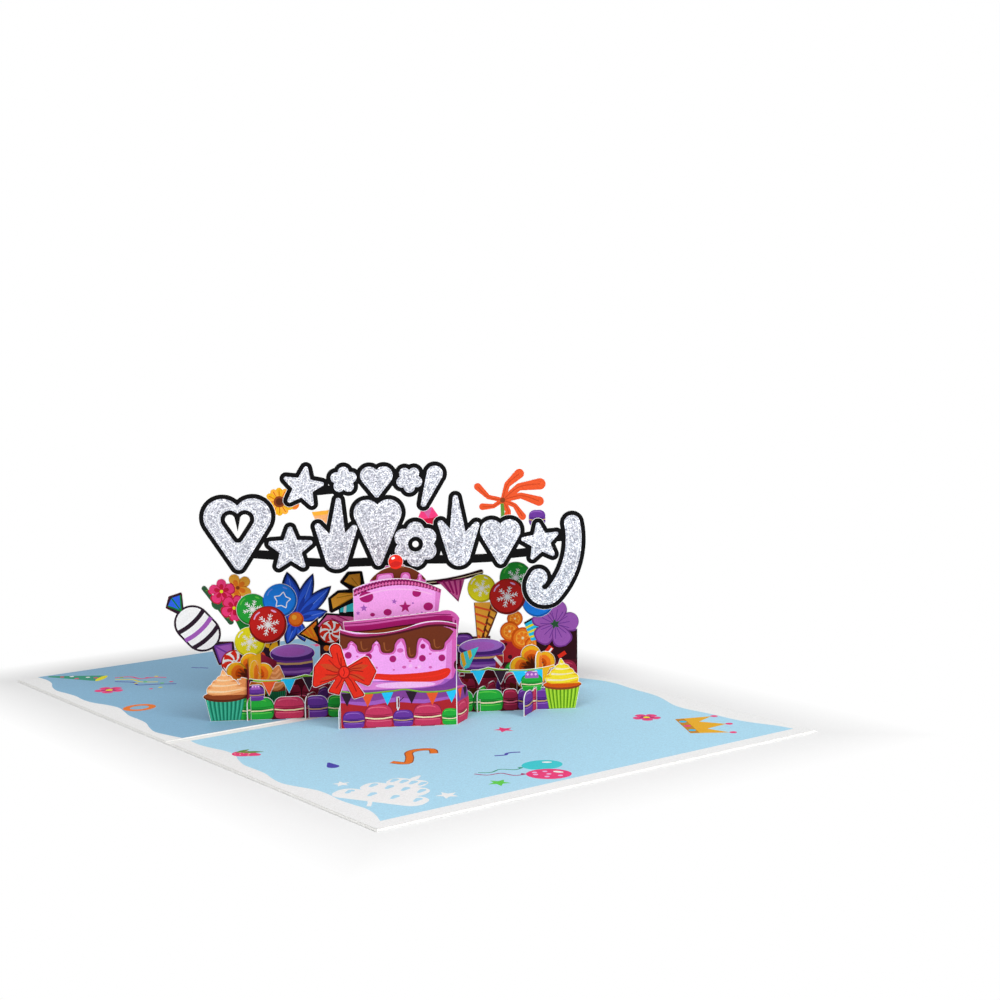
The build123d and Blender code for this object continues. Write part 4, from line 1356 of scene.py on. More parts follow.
@dataclass
class Cake(Section):
    """Front slice with the stage wall, the bow and the tiers behind it."""

    left: float = -21.85
    stage: float = 15.6
    rim: tuple = ((-22.6, 41.6), (-21.6, 41.0), (-16.5, 39.4), (-11.4, 39.0), (-4.0, 39.5), (3.0, 40.6),
                  (9.3, 42.0),
                  (13.8, 42.9), (18.3, 43.1), (22.0, 42.7), (26.4, 41.4))

    def wall_art(self) -> Artwork:
        """Print of the stage wall and the lower tier.

        Returns:
            The artwork.
        """
        art = Artwork(Ink.CAKE_PINK)
        art.lay(Ink.CAKE_SHADE, [(20.4, 15), (28, 15), (28, 44), (22.0, 44), (21.4, 30)])
        art.lay(Ink.CAKE_DEEP, [(23.2, 15), (28, 15), (28, 44), (24.0, 44), (23.6, 30)])
        art.scatter(Ink.CAKE_PALE, -21, 20, 23, 33, 0.8, 12, 5)
        for x, y, r in ((-18.2, 30.2, 1.4), (-10.1, 29.4, 1.4), (-0.3, 28.1, 1.4), (11.6, 28.0, 1.4),
                        (19.5, 27.9, 1.4),
                        (11.9, 32.9, 1.05)):
            art.lay(Ink.MAGENTA, ellipse(x, y, r, steps=20))
        for x, y, r in ((2.7, 31.5, 1.3), (14.8, 29.7, 0.6), (-14.6, 29.6, 0.5), (6.6, 27.0, 0.6),
                        (4.2, 24.6, 0.85),
                        (0.0, 23.6, 0.45), (9.0, 24.2, 0.55), (14.8, 24.2, 0.75), (-7.1, 24.7, 0.7),
                        (-17.0, 26.4, 0.6)):
            art.lay(Ink.CAKE_DEEP, ellipse(x, y, r, 0.72 * r, steps=14))
        icing = shifted(smooth(self.rim[:-2] + ((22.6, 42.0), (24.4, 40.6)), 3), 0.0, -2.0)
        hangs = ((-20.6, 1.9, 36.2, 33.2), (-11.6, 2.6, 36.0, 31.5), (-2.4, 2.5, 36.4, 30.8),
                 (7.3, 1.7, 36.6, 28.4),
                 (17.8, 2.5, 36.0, 31.4))
        art.lay(Ink.CAKE_DEEP, drips(shifted(icing, 0.3, 0.0), hangs, 1.0))
        art.lay(Ink.BROWN_SHADE, drips(icing, hangs, 0.35))
        art.lay(Ink.CHOCOLATE, drips(icing, hangs))
        for middle, half, _, end in hangs[1:]:
            art.lay(Ink.CHOCOLATE_LIGHT, strip(smooth([(middle - 0.55 * half, end + 4.2),
                                                       (middle - 0.4 * half, end + 1.4),
                                                       (middle, end + 0.7),
                                                       (middle + 0.45 * half, end + 1.3)], 4), 0.55, 0.2))
        edge = smooth(self.rim, 3)
        art.lay(Ink.MAROON, strip(shifted(edge, 0.0, -1.3), 1.8))
        art.lay(Ink.COLLAR, strip(shifted(edge, 0.0, -0.9), 0.9))
        self.base_art(art)
        self.stage_art(art)
        return art

    def base_art(self, art: Artwork) -> None:
        """Adds the cake's board with the red ribbon above it.

        Args:
            art: Artwork that it is added to.
        """
        art.lay(Ink.LILAC, box(-24, 28, 14, 19.2))
        art.lay(Ink.CAKE_SHADE, smooth([(-24, 19.6), (-8, 18.8), (8, 18.6), (20, 19.4), (16, 16.4),
                                        (0, 15.8), (-24, 15.8)], 3))
        art.lay(Ink.CAKE_PALE, ellipse(4.6, 17.3, 12.2, 1.25))
        art.lay(Ink.LILAC_SHADE, [(14.5, 16.0), (20, 17.0), (24.0, 19.6), (25.4, 23.4), (28, 25), (28, 14),
                                  (10, 15.4)])
        art.lay(Ink.MAROON, ellipse(25.4, 24.8, 1.1, 1.9))
        ribbon = smooth([(-24, 23.6), (-8.5, 22.5), (0.0, 21.8), (9.3, 22.0), (16.7, 22.7), (21.4, 23.7),
                         (23.0, 22.6),
                         (21.4, 19.9), (16.7, 18.4), (9.2, 18.4), (0.0, 19.0), (-9.3, 20.2), (-24, 21.2)], 3)
        art.rimmed(Ink.RED_SHADE, 0.4, Ink.RED, ribbon)
        art.line(Ink.CHERRY, [(-8, 20.9), (0, 20.2), (10, 20.0), (18, 20.9), (21.6, 22.2)], 0.5)

    def stage_art(self, art: Artwork) -> None:
        """Adds the stage wall: macarons before a red cloth, with bunting above.

        Args:
            art: Artwork that it is added to.
        """
        art.lay(Ink.WALL_PURPLE, box(-24, 28, 9.0, self.stage))
        art.lay(Ink.LILAC, smooth([(-24, 12.0), (-12, 10.8), (0, 12.2), (12, 11.0), (28, 12.4), (28, 10.4),
                                   (12, 9.0),
                                   (0, 10.2), (-12, 8.8), (-24, 10.0)], 3))
        art.lay(Ink.WALL_RED, smooth([(-24, -1), (-24, 10.2), (-12, 9.2), (0, 10.4), (12, 9.4), (28, 10.6),
                                      (28, -1)], 3))
        art.row((-20.9, -12.1, -0.6, 7.6, 19.2, 26.0), (7.1, 9.5, 7.0, 9.3, 7.0),
                (Macaron.PURPLE, Macaron.CRIMSON, Macaron.PURPLE, Macaron.CRIMSON, Macaron.GREEN))
        art.line(Ink.SNOW, [(1.4, 6.9), (1.5, 11.6)], 0.45)
        art.line(Ink.SOOT, [(2.0, 10.6), (3.8, 12.2)], 0.35)
        for x, y, ink in ((-19.1, 14.6, Ink.SOOT), (-10.8, 14.0, Ink.CORAL), (-2.8, 14.5, Ink.CYAN),
                          (7.0, 14.7, Ink.SOOT),
                          (15.4, 13.8, Ink.CORAL), (23.2, 14.6, Ink.CYAN)):
            art.pennant(x, y, ink, 4.9, 5.4)
        string = smooth([(-22, 15.6), (-12.6, 14.3), (-1.0, 14.9), (4.5, 15.4), (11.9, 14.1), (20.8, 14.2),
                         (26.4, 15.4)])
        art.lay(Ink.LEAF, strip(string, 0.7))
        art.lay(Ink.LIME, strip(shifted(string, 0.0, 0.1), 0.3))

    def flap_art(self) -> Artwork:
        """Print of the flap that folds back from the front slice.

        Returns:
            The artwork.
        """
        art = Artwork(Ink.CRIMSON)
        art.lay(Ink.WALL_PURPLE, box(-40, 20, 9.4, 30))
        art.line(Ink.PINK_STRIPE, [(-30, 16.4), (-18, 14.6)], 0.8)
        edge = self.lattice.on_crossing(-2 * self.lattice.pitch, -2 * self.lattice.pitch)
        art.macaron(edge + 0.8, edge + 10.2, 0.2, 9.0, *Macaron.CRIMSON.value)
        art.pennant(edge + 3.2, 14.6, Ink.CORAL, 4.6, 4.6)
        art.pennant(edge + 8.4, 14.2, Ink.SOOT, 4.4, 4.4)
        return art

    def bow_art(self) -> Artwork:
        """Print of the bow: red loops with dark outlines and creases that run to the knot.

        Returns:
            The artwork.
        """
        art = Artwork(Ink.RED, edge=(Ink.RED_SHADE, 0.45))
        x, y = self.left + 1.85, 23.4
        art.lay(Ink.CORAL_SHADE, leaf(x - 1.5, y + 0.6, x - 9.6, y + 3.6, 1.3),
                leaf(x + 1.5, y + 0.6, x + 9.8, y + 2.6, 1.3),
                leaf(x - 1.5, y - 0.8, x - 9.8, y - 2.6, 0.8), leaf(x + 1.5, y - 0.8, x + 8.6, y - 3.0, 0.9))
        for reach, spots in ((0.86, ((-7.0, 6.2), (-11.4, -4.4), (8.6, 4.4), (9.4, -4.6), (-3.2, 9.4),
                                     (5.6, -9.4), (-4.0, -7.6))),
                             (0.66, ((-10.8, 2.2), (-11.4, -1.2), (11.6, 0.0), (10.6, 2.4), (-1.8, 9.0)))):
            for u, v in spots:
                art.line(Ink.RED_SHADE, [(x + 0.16 * u, y + 0.16 * v),
                                         (x + 0.5 * reach * u - 0.05 * v, y + 0.5 * reach * v + 0.05 * u),
                                         (x + reach * u, y + reach * v)], 0.4)
        art.lay(Ink.RED_SHADE, ellipse(x, y, 2.4, 2.7))
        art.lay(Ink.CHERRY, ellipse(x, y, 1.9, 2.2))
        art.line(Ink.RED_SHADE, [(x - 0.4, y + 1.6), (x + 0.1, y), (x - 0.4, y - 1.6)], 0.3)
        return art

    def frosting_art(self) -> Artwork:
        """Print of the collar behind the lower tier.

        Returns:
            The artwork.
        """
        art = Artwork(Ink.MAGENTA_SHADE)
        edge = smooth([(-21, 42.6), (-12, 42.9), (-6, 43.4), (4, 44.6), (14, 45.4), (20, 46.0), (25, 45.4),
                       (29, 43.0)], 3)
        art.lay(Ink.BROWN, strip(shifted(edge, 0.0, -5.2), 1.4))
        art.lay(Ink.MAROON, strip(shifted(edge, 0.0, -4.2), 0.9))
        art.lay(Ink.MAGENTA, strip(shifted(edge, 0.0, -2.8), 2.6))
        art.lay(Ink.CAKE_DEEP, strip(shifted(edge, 0.0, -0.9), 2.2))
        art.lay(Ink.CAKE_DEEP, box(24.6, 29, 20, 43))
        art.line(Ink.MAGENTA_SHADE, [(24.4, 26), (25.2, 34), (25.8, 42)], 0.5)
        art.line(Ink.MAGENTA_SHADE, [(-20, 41.6), (-12, 41.9), (-4, 42.6), (6, 43.8), (16, 44.4),
                                     (24, 44.2)], 0.35)
        return art

    def upper_art(self) -> Artwork:
        """Print of the upper tier: spots and stars, a beaded ring above and a ruffle below.

        Returns:
            The artwork.
        """
        art = Artwork(Ink.CAKE_PINK)
        art.lay(Ink.CAKE_SHADE, [(17.4, 36), (22, 36), (22, 60), (18.8, 60)])
        art.lay(Ink.MAGENTA, ellipse(-10.0, 51.3, 2.9, 2.3), ellipse(-7.6, 43.9, 1.0, 0.8),
                ellipse(-1.4, 44.7, 1.7, 1.4),
                ellipse(10.6, 52.3, 1.8, 1.6), ellipse(15.3, 46.6, 2.0, 1.7), star(5.8, 46.7, 2.6))
        art.lay(Ink.LILAC, star(1.4, 49.1, 1.2, start=80), star(-11.1, 46.7, 1.6), star(-13.5, 44.7, 1.0),
                ellipse(9.0, 48.2, 0.4, steps=8), ellipse(12.6, 44.2, 0.4, steps=8))
        art.lay(Ink.CAKE_PALE, strip([(s, 54.2 - 0.0125 * (s - 2.6) ** 2) for s in range(-13, 18, 3)], 0.5))
        for k in range(28):
            s = -15.2 + 1.33 * k
            h = 57.0 - 0.0125 * (s - 2.6) ** 2
            art.lay(Ink.MAGENTA_SHADE, ellipse(s, h + 0.5, 0.9, 0.9, steps=12),
                    ellipse(s + 0.6, h - 0.7, 0.9, 0.5, steps=10))
            art.lay(Ink.PINK_STRIPE, ellipse(s + 0.1, h - 0.2, 0.5, 0.75, steps=10))
        ruffle = [(s, 42.3 + 0.085 * s + 0.45 * math.sin(1.9 * s)) for s in [x / 2 for x in range(-34, 46)]]
        art.lay(Ink.CAKE_DEEP, [(-18, 34), (24, 34), *reversed(ruffle)])
        art.lay(Ink.MAGENTA_SHADE, strip(ruffle, 0.6), [(-18, 30), (24, 30), (24, 41.4), (-18, 38.2)])
        return art

    def crown_art(self) -> Artwork:
        """Print of the cake's top: chocolate that drips over pink, and a cherry.

        Returns:
            The artwork.
        """
        art = Artwork(Ink.CAKE_PINK)
        art.lay(Ink.CAKE_SHADE, [(11.8, 50), (16, 50), (16, 62), (13.0, 62)])
        top = [(s, 65.4 - 0.03 * (s - 3.2) ** 2) for s in (-9.8, -6, -2, 2, 6, 10, 13, 16)]
        hangs = ((-7.0, 1.2, 60.2, 57.8), (2.9, 1.2, 60.6, 57.9), (9.9, 1.3, 60.6, 57.6),
                 (14.2, 0.8, 60.0, 57.4))
        art.lay(Ink.CAKE_DEEP, drips(top, hangs, 0.8))
        art.lay(Ink.BROWN_SHADE, drips(top, hangs, 0.25))
        art.lay(Ink.CHOCOLATE, drips(top, hangs))
        art.line(Ink.CHOCOLATE_LIGHT, [(-5.0, 61.6), (0.0, 62.6), (6.0, 62.5)], 0.4)
        art.lay(Ink.MAGENTA_SHADE, box(-12, 18, -1, 50))
        art.lay(Ink.CHERRY, ellipse(2.4, 65.0, 3.1))
        art.lay(Ink.BALLOON_RED, leaf(-0.4, 63.6, 5.2, 64.4, 1.2))
        art.lay(Ink.SNOW, ellipse(1.4, 66.5, 0.8, 0.5, 25, 10))
        return art

    def build(self) -> None:
        """Prints the front slice with its flap, then the sheets before and behind it."""
        self.printer.sheet("front_slice", [(self.lattice.facing(), tuple(Side), self.wall_art()),
                                           (self.lattice.crossing(), tuple(Side), self.flap_art())])
        self.face({"bow": self.bow_art(), "frosting_slice": self.frosting_art(),
                   "upper_tier_slice": self.upper_art(), "cake_top_slice": self.crown_art()})


# Sweets, bunting and flowers


@dataclass
class Wings(Section):
    """Wing slice and the two flower slices behind its bunting."""

    left_cupcake: float = -68.6
    right_cupcake: float = 71.6
    width: float = 18.0
    height: float = 21.6
    cup_height: float = 10.4
    row: float = 9.4

    def wing_art(self) -> Artwork:
        """Print of the macaron rows, the bunting and the cupcakes.

        Returns:
            The artwork.
        """
        art = Artwork(Ink.MAROON)
        art.lay(Ink.LEAF, box(-62.6, -21, 15.2, 19.4), box(25, 68.4, 15.8, 20))
        for spots in (((-61.5, 17.6), (-50.0, 16.0), (-35.5, 18.0), (-28.0, 16.8), (-19.0, 17.6)),
                      ((25.0, 18.6), (33.4, 17.2), (40.4, 18.4), (54.0, 16.8), (68.0, 18.4))):
            art.line(Ink.LIME, spots, 0.5)
        for x, y, ink in ((-60.4, 17.0, Ink.SOOT), (-50.5, 16.0, Ink.CORAL), (-42.3, 16.8, Ink.CYAN),
                          (-34.0, 17.4, Ink.SOOT), (36.4, 17.6, Ink.CYAN), (45.6, 17.4, Ink.SOOT),
                          (53.4, 16.8, Ink.CYAN), (63.4, 17.2, Ink.CYAN)):
            art.pennant(x, y, ink, 7.2, 7.2)
        art.row((self.left_cupcake + 5.0, -48.7, -36.2, -26.5, -19.0), (self.row,) * 4,
                (Macaron.GREEN, Macaron.CRIMSON, Macaron.PURPLE, Macaron.GREEN))
        art.row((25.0, 34.0, 46.5, 52.8, 59.0, self.right_cupcake - 5.0), (self.row,) * 5,
                (Macaron.GREEN, Macaron.GREEN, Macaron.WINE, Macaron.PURPLE, Macaron.PURPLE))
        art.lay(Ink.CRIMSON, box(57.8, 60.0, 0, 8.6))
        art.macaron(-59.6, -52.4, 8.0, 14.0, *Macaron.PURPLE.value)
        art.lay(Ink.LILAC, dome(-57.9, -54.1, 12.8, 15.0))
        art.macaron(54.2, 63.2, 8.0, 15.2, *Macaron.GREEN.value)
        art.lay(Ink.LILAC, dome(55.8, 61.6, 13.6, 16.8))
        for k in range(3):
            art.lay(Ink.CAKE_PALE, ellipse(-57.2 + 1.2 * k, 14.0, 0.35, steps=8),
                    ellipse(57.0 + 1.7 * k, 15.2, 0.5, steps=8))
        art.cupcake(self.left_cupcake, self.width, self.height, self.cup_height,
                    (Ink.PEACH, Ink.PEACH_LIGHT, Ink.PEACH_SHADE), (Ink.BROWN, Ink.BROWN_SHADE),
                    (Ink.TEAL, Ink.TEAL_LIGHT, Ink.TEAL_SHADE))
        art.cupcake(self.right_cupcake, self.width - 1.4, self.height, self.cup_height,
                    (Ink.YELLOW_CREAM, Ink.CREAM, Ink.GOLD), (Ink.ORANGE_SHADE, Ink.BROWN),
                    (Ink.LIME, Ink.LIME_LIGHT, Ink.LIME_SHADE))
        return art

    def flower_art(self, x: float, y: float, start: float, small_cake: Optional[float]) -> Artwork:
        """Print of an orange flower over a dark bed.

        Args:
            x: Flower's middle, sideways.
            y: Flower's middle, upwards.
            start: Direction of its first petal, in degrees.
            small_cake: Middle of the small cupcake beside it, if there is one.

        Returns:
            The artwork.
        """
        art = Artwork(Ink.OLIVE)
        art.lay(Ink.MAROON, box(-100, 100, -1, 9.6))
        art.macaron(x - 6.4, x + 2.6, 0.4, 8.6, *Macaron.WINE.value)
        for way in fan(start):
            for reach, width, ink in ((10.2, 9.0, Ink.OLIVE), (9.6, 7.6, Ink.GOLD), (8.0, 6.0, Ink.ORANGE),
                                      (6.2, 4.2, Ink.ORANGE_SHADE)):
                art.lay(ink, petal(x, y, way, reach, width))
            for lean in (-16, 0, 16):
                art.lay(Ink.BROWN, petal(x, y, way + lean, 5.4, 0.7))
        for k in range(10):
            art.lay(Ink.BROWN_SHADE, petal(x, y, start + 36 * k, 4.2, 1.3))
        art.lay(Ink.BROWN_SHADE, ellipse(x, y, 2.3))
        if small_cake is not None:
            art.cup(small_cake, 8.6, 6.4, 5.6, 10.4, (Ink.GREEN_SHADE, Ink.TEAL, Ink.TEAL_SHADE))
            art.lay(Ink.BROWN, ellipse(small_cake, 10.8, 4.5, 1.2))
            art.lay(Ink.PEACH_SHADE, drop(small_cake, 13.4, 3.5, small_cake + 1.0, 20.4, 0.9))
            for k in range(4):
                art.line(Ink.PEACH, [(small_cake - 3.0 + 0.5 * k, 11.8 + 2.0 * k),
                                     (small_cake, 11.4 + 2.0 * k),
                                     (small_cake + 3.0 - 0.5 * k, 13.2 + 2.0 * k)], 0.8)
        return art

    def build(self) -> None:
        """Prints the wing slice and the flower slices."""
        self.face({"wing_slice": self.wing_art(),
                   "left_flower_slice": self.flower_art(-58.55, 16.4, 86, -47.8),
                   "right_flower_slice": self.flower_art(60.57, 16.0, 100, None)})


@dataclass
class Middle(Section):
    """Middle slice: a row of sweets, two large macarons and the riser."""

    end: float = 74.5
    row: float = 11.0

    def art(self) -> Artwork:
        """Print of the middle slice.

        Returns:
            The artwork.
        """
        art = Artwork(Ink.MAROON)
        art.even_row(-self.end, self.end, self.row, 12, (Macaron.WINE,))
        for k in range(24):
            art.lay(Ink.BALLOON_RED_SHADE if k % 2 else Ink.BROWN_SHADE,
                    petal(-72 + 6.2 * k, 4.6 + 3.2 * math.sin(2.3 * k), 40 + 67 * k, 5.6, 3.4))
        art.lay(Ink.MAROON, box(-49, -32, 9.6, 15.6), box(31, 49, 9.6, 15.6))
        for left, right, high in ((-50.2, -31.2, 27.3), (29.8, 50.0, 27.0)):
            self.large_macaron(art, left, right, 13.6, high)
        art.rimmed(Ink.MAROON, 0.2, Ink.WALL_RED, [(45.6, 13.4), (49.0, 12.0), (51.0, 18.4), (46.0, 19.6)])
        art.lay(Ink.SNOW, strip([(45.4, 18.6), (50.0, 13.2)], 1.3))
        hat = [(29.4, 20.4), (38.6, 23.4), (34.4, 14.6), (31.0, 13.2)]
        art.lay(Ink.TURQUOISE, hat)
        for share in (0.12, 0.46):
            near, far = share, share + 0.16
            art.lay(Ink.GOLD, [(29.4 + 9.2 * near, 20.4 + 3.0 * near), (29.4 + 9.2 * far, 20.4 + 3.0 * far),
                               (31.0 + 7.6 * far, 13.2 + 10.2 * far),
                               (31.0 + 7.6 * near, 13.2 + 10.2 * near)])
        art.lay(Ink.CAKE_DEEP, box(-1.6, 10.6, 12, 70))
        art.scatter(Ink.MAGENTA, -1, 10, 24, 66, 1.1, 16, 9)
        return art

    def large_macaron(self, art: Artwork, left: float, right: float, low: float, high: float) -> None:
        """Large purple macaron with a wide gleam on its upper shell.

        Args:
            art: What it is added to.
            left: Left edge.
            right: Right edge.
            low: Lower edge.
            high: Upper edge.
        """
        w, h, x = right - left, high - low, (left + right) / 2
        art.lay(Ink.PURPLE_SHADE, loaf(left, right, low, high))
        art.lay(Ink.PURPLE, ellipse(x, high - 4.2, 0.5 * w, 4.2, steps=40))
        art.lay(Ink.PURPLE_SHADE, ellipse(x, high - 4.8, 0.47 * w, 3.4, steps=40))
        art.lay(Ink.PURPLE_LIGHT, ellipse(x - 0.01 * w, high - 3.1, 0.45 * w, 2.7, steps=40))
        art.lay(Ink.LILAC, ellipse(x - 0.05 * w, high - 3.3, 0.33 * w, 1.9, steps=30))
        art.belt(Ink.PURPLE, left + 0.04 * w, right - 0.04 * w, low + 0.47 * h, 0.03 * h, 0.05 * h)
        art.belt(Ink.TAN, left + 0.03 * w, right - 0.03 * w, low + 0.4 * h, 0.03 * h, 0.065 * h)
        art.lay(Ink.PURPLE, loaf(left + 0.05 * w, right - 0.05 * w, low + 0.02 * h, low + 0.24 * h, 0.46))
        art.belt(Ink.PURPLE_LIGHT, left + 0.1 * w, right - 0.1 * w, low + 0.13 * h, 0.02 * h, 0.08 * h)

    def build(self) -> None:
        """Prints the middle slice."""
        self.face({"middle_slice": self.art()})


@dataclass
class Back(Section):
    """Back slice with its sweets, flags, hat and panel, and the balloons and flowers glued on it."""

    left: float = -68.0
    right: float = 84.6
    row: float = 12.0
    left_cluster: tuple = ((-57.5, 38.9, 7.0), (-45.6, 42.5, 7.4), (-59.0, 24.6, 6.7), (-51.0, 31.9, 8.2))
    right_cluster: tuple = ((57.3, 49.4, 7.2), (42.2, 45.2, 6.3), (67.1, 38.8, 7.2), (53.5, 41.1, 8.0))

    def art(self) -> Artwork:
        """Print of the back slice.

        Returns:
            The artwork.
        """
        art = Artwork(Ink.MAROON)
        art.even_row(self.left, self.right, self.row, 14,
                     (Macaron.PURPLE, Macaron.WINE, Macaron.CRIMSON, Macaron.GREEN))
        self.wrapped_sweet(art)
        self.left_party(art)
        self.right_party(art)
        return art

    def wrapped_sweet(self, art: Artwork) -> None:
        """Adds the large wrapped sweet that leans out to the left and the round sweet before it.

        Args:
            art: Artwork that it is added to.
        """
        art.lay(Ink.SOOT, drop(-83.4, 33.6, 8.4, -79.2, 28.8, 8.4))
        art.lay(Ink.WHITE, drop(-83.4, 33.6, 7.0, -79.2, 28.8, 7.0))
        for shift, ink in ((-4.2, Ink.SOOT), (0.4, Ink.LILAC), (5.0, Ink.SOOT)):
            cx, cy = -81.3 + 0.66 * shift, 31.2 - 0.75 * shift
            art.lay(ink, strip(smooth([(cx + 5.6 * v + 0.7 * (1 - v * v), cy + 4.9 * v - 0.8 * (1 - v * v))
                                       for v in (-1, -0.5, 0, 0.5, 1)]), 1.9))
        for root, tips, ink, way in (((-88.0, 39.0), ((-93.6, 41.4), (-92.0, 44.8), (-88.2, 46.0)),
                                      Ink.ROYAL, 1),
                                     ((-74.2, 23.2), ((-66.9, 24.2), (-66.8, 18.8), (-72.0, 15.8)),
                                      Ink.LILAC, -1)):
            hull = [(1.12 * x - 0.12 * root[0], 1.12 * y - 0.12 * root[1]) for x, y in tips]
            art.lay(Ink.SOOT, [(root[0] - 1.6 * way, root[1] - 1.6 * way), *hull,
                               (root[0] + 1.6 * way, root[1] + 1.6 * way)])
            art.lay(ink, [root, *tips])
            for x, y in tips:
                art.line(Ink.GREEN_SHADE if ink is Ink.ROYAL else Ink.PURPLE, [root, (x, y)], 0.6)
        art.line(Ink.SNOW, [(-88.4, 35.6), (-86.4, 37.8), (-83.6, 38.8)], 0.7)
        self.swirl(art, -66.0, 15.6, 5.7)

    def left_party(self, art: Artwork) -> None:
        """Adds the flags, the round sweet, the ribbon and the box left of the cake.

        Args:
            art: Artwork that it is added to.
        """
        art.lay(Ink.SOOT, box(-63.4, -45, 11.8, 27))
        for k, (x, y) in enumerate(((-57, 15), (-50.8, 21.4), (-54.6, 19.0), (-47.6, 25.0), (-49.0, 15.6),
                                    (-59.4, 22.0))):
            art.lay(Ink.GOLD if k % 2 else Ink.CORAL, petal(x, y, 50 + 67 * k, 6.0, 3.6))
            art.line(Ink.SOOT, [(x + 1, y + 1), (x + 3.6, y + 2.6)], 0.35)
        art.lay(Ink.SOOT, box(-29.4, -7.6, 11.8, 26.4))
        art.lay(Ink.WALL_RED, box(-28.4, -9, 11.8, 18))
        art.scatter(Ink.ORANGE, -28, -9, 13, 24, 1.6, 12, 14)
        art.lay(Ink.BLACK, [(-39.4, 27.2), (-29.2, 35.2), (-28.4, 21.2)])
        art.lay(Ink.ORANGE, [(-36.9, 27.4), (-30.2, 32.8), (-29.6, 23.8)])
        for k in range(4):
            art.line(Ink.GOLD, [(-36.4 + 2.0 * k, 27.8 + 1.3 * k), (-33.2 + 1.2 * k, 25.6 + 0.2 * k)], 0.4)
        art.lay(Ink.BLACK, [(-31.6, 29.6), (-26.0, 36.8), (-11.6, 35.4), (-11.4, 25.8), (-17, 22),
                            (-28.2, 22.0)])
        art.lay(Ink.PINK_STRIPE, [(-29.6, 30.6), (-25.4, 35.4), (-12.6, 34.0), (-12.6, 30), (-18, 27)])
        for k in range(4):
            art.line(Ink.MAGENTA, [(-28 + 2.2 * k, 31.4 + 1.2 * k), (-23 + 2.6 * k, 29.6 + 0.8 * k)], 0.5)
        self.swirl(art, -24.0, 28.0, 5.3)
        art.lay(Ink.WHITE, box(-17.6, -5.6, 23.8, 30))
        art.lay(Ink.RED, strip([(-17, 25), (-12, 29.6)], 2.2), strip([(-14, 23.4), (-6, 29.4)], 2.2))
        art.lay(Ink.BLACK, box(-21.0, -5.6, 35.4, 44.9))
        art.lay(Ink.TURQUOISE, [(-19.9, 36.4), (-13.4, 36.6), (-13.2, 42.4), (-19.6, 41.0)])
        art.lay(Ink.WHITE, strip([(-17.8, 36.2), (-17.2, 42.0)], 1.1))
        for hull, inner in (([(-9.8, 42.2), (-23.8, 36.4), (-25.4, 42.8), (-20.2, 46.4), (-9.8, 46.8)],
                             [(-11.4, 44.4), (-22.8, 38.0), (-23.6, 42.4), (-20.2, 44.9)]),
                            ([(-9.8, 43.8), (-19.6, 49.2), (-16.2, 54.4), (-9.6, 54.6), (-8, 46)],
                             [(-10.8, 46.6), (-17.8, 49.9), (-15.5, 52.8), (-10.9, 53.2)])):
            art.lay(Ink.BLACK, hull)
            art.lay(Ink.ORANGE_LIGHT, inner)
            for x, y in inner[1:]:
                art.line(Ink.GOLD_SHADE, [inner[0],
                                          (0.8 * x + 0.2 * inner[0][0], 0.8 * y + 0.2 * inner[0][1])], 0.4)

    def swirl(self, art: Artwork, x: float, y: float, r: float) -> None:
        """Round peppermint sweet with curved red bands.

        Args:
            art: What it is added to.
            x: Middle, sideways.
            y: Middle, upwards.
            r: Radius.
        """
        art.lay(Ink.RED_SHADE, ellipse(x, y, r, steps=30))
        art.lay(Ink.WHITE, ellipse(x, y, 0.9 * r, steps=30))
        for k in range(7):
            spots = [polar(x, y, r * q, 2 * math.pi * k / 7 + 0.9 * q) for q in (0.1, 0.35, 0.6, 0.88)]
            art.lay(Ink.RED, strip(spots, 0.06 * r, 0.42 * r))
        art.lay(Ink.WHITE, ellipse(x, y, 0.22 * r, steps=12))
        art.lay(Ink.RED_SHADE, ellipse(x, y, 0.1 * r, steps=10))

    def right_party(self, art: Artwork) -> None:
        """Adds the column, the garland, the cones, the fruit slices, the hat, the panel and its flower.

        Args:
            art: Artwork that it is added to.
        """
        art.lay(Ink.MAROON, box(-8.4, 16.4, 11.8, 49.4))
        art.scatter(Ink.COLLAR, -6.6, 14.6, 14, 47, 1.5, 34, 21)
        garland = [(11, 48.0), (27, 49.0), (43, 52.4)]
        art.lay(Ink.MAROON_SHADE, strip(smooth(garland), 3.0))
        art.line(Ink.CREAM, garland, 0.35)
        art.lay(Ink.MAGENTA_SHADE, [(22.2, 48.8), (35.6, 50.2), (32.0, 38.6)])
        art.lay(Ink.PINK_STRIPE, [(23.6, 48.2), (34.6, 49.4), (31.8, 40.4)])
        for k in range(4):
            art.line(Ink.MAGENTA, [(25.2 + 2.6 * k, 49.0), (28.6 + 1.4 * k, 43.8 - 0.6 * k)], 0.9)
        art.lay(Ink.MAROON, box(37.6, 46.4, 7.8, 24))
        for left, right, tip, ink in (((44.0, 39.2), (50.9, 37.8), (42.3, 20.0), Ink.BROWN),
                                      ((38.4, 39.2), (47.2, 39.2), (40.8, 20.0), Ink.CORAL)):
            art.lay(Ink.BROWN_SHADE, [left, right, (tip[0] + 1.2, tip[1]), (tip[0] - 1.2, tip[1])])
            art.lay(Ink.ORANGE_LIGHT, [(left[0] + 0.7, left[1]), (right[0] - 0.7, right[1]),
                                       (tip[0] + 0.4, tip[1] + 1),
                                       (tip[0] - 0.4, tip[1] + 1)])
            for k in range(1, 6):
                share = k / 6
                ends = [(tip[0] + (end[0] - tip[0]) * share, tip[1] + (end[1] - tip[1]) * share)
                        for end in (left, right)]
                art.line(ink, [(ends[0][0], ends[0][1] + 1.2), (ends[1][0], ends[1][1] - 0.9)], 0.9)
        art.lay(Ink.SOOT, dome(28.6, 39.4, 14.0, 27.0))
        art.macaron(29.8, 38.2, 16.8, 24.8, *Macaron.PURPLE.value)
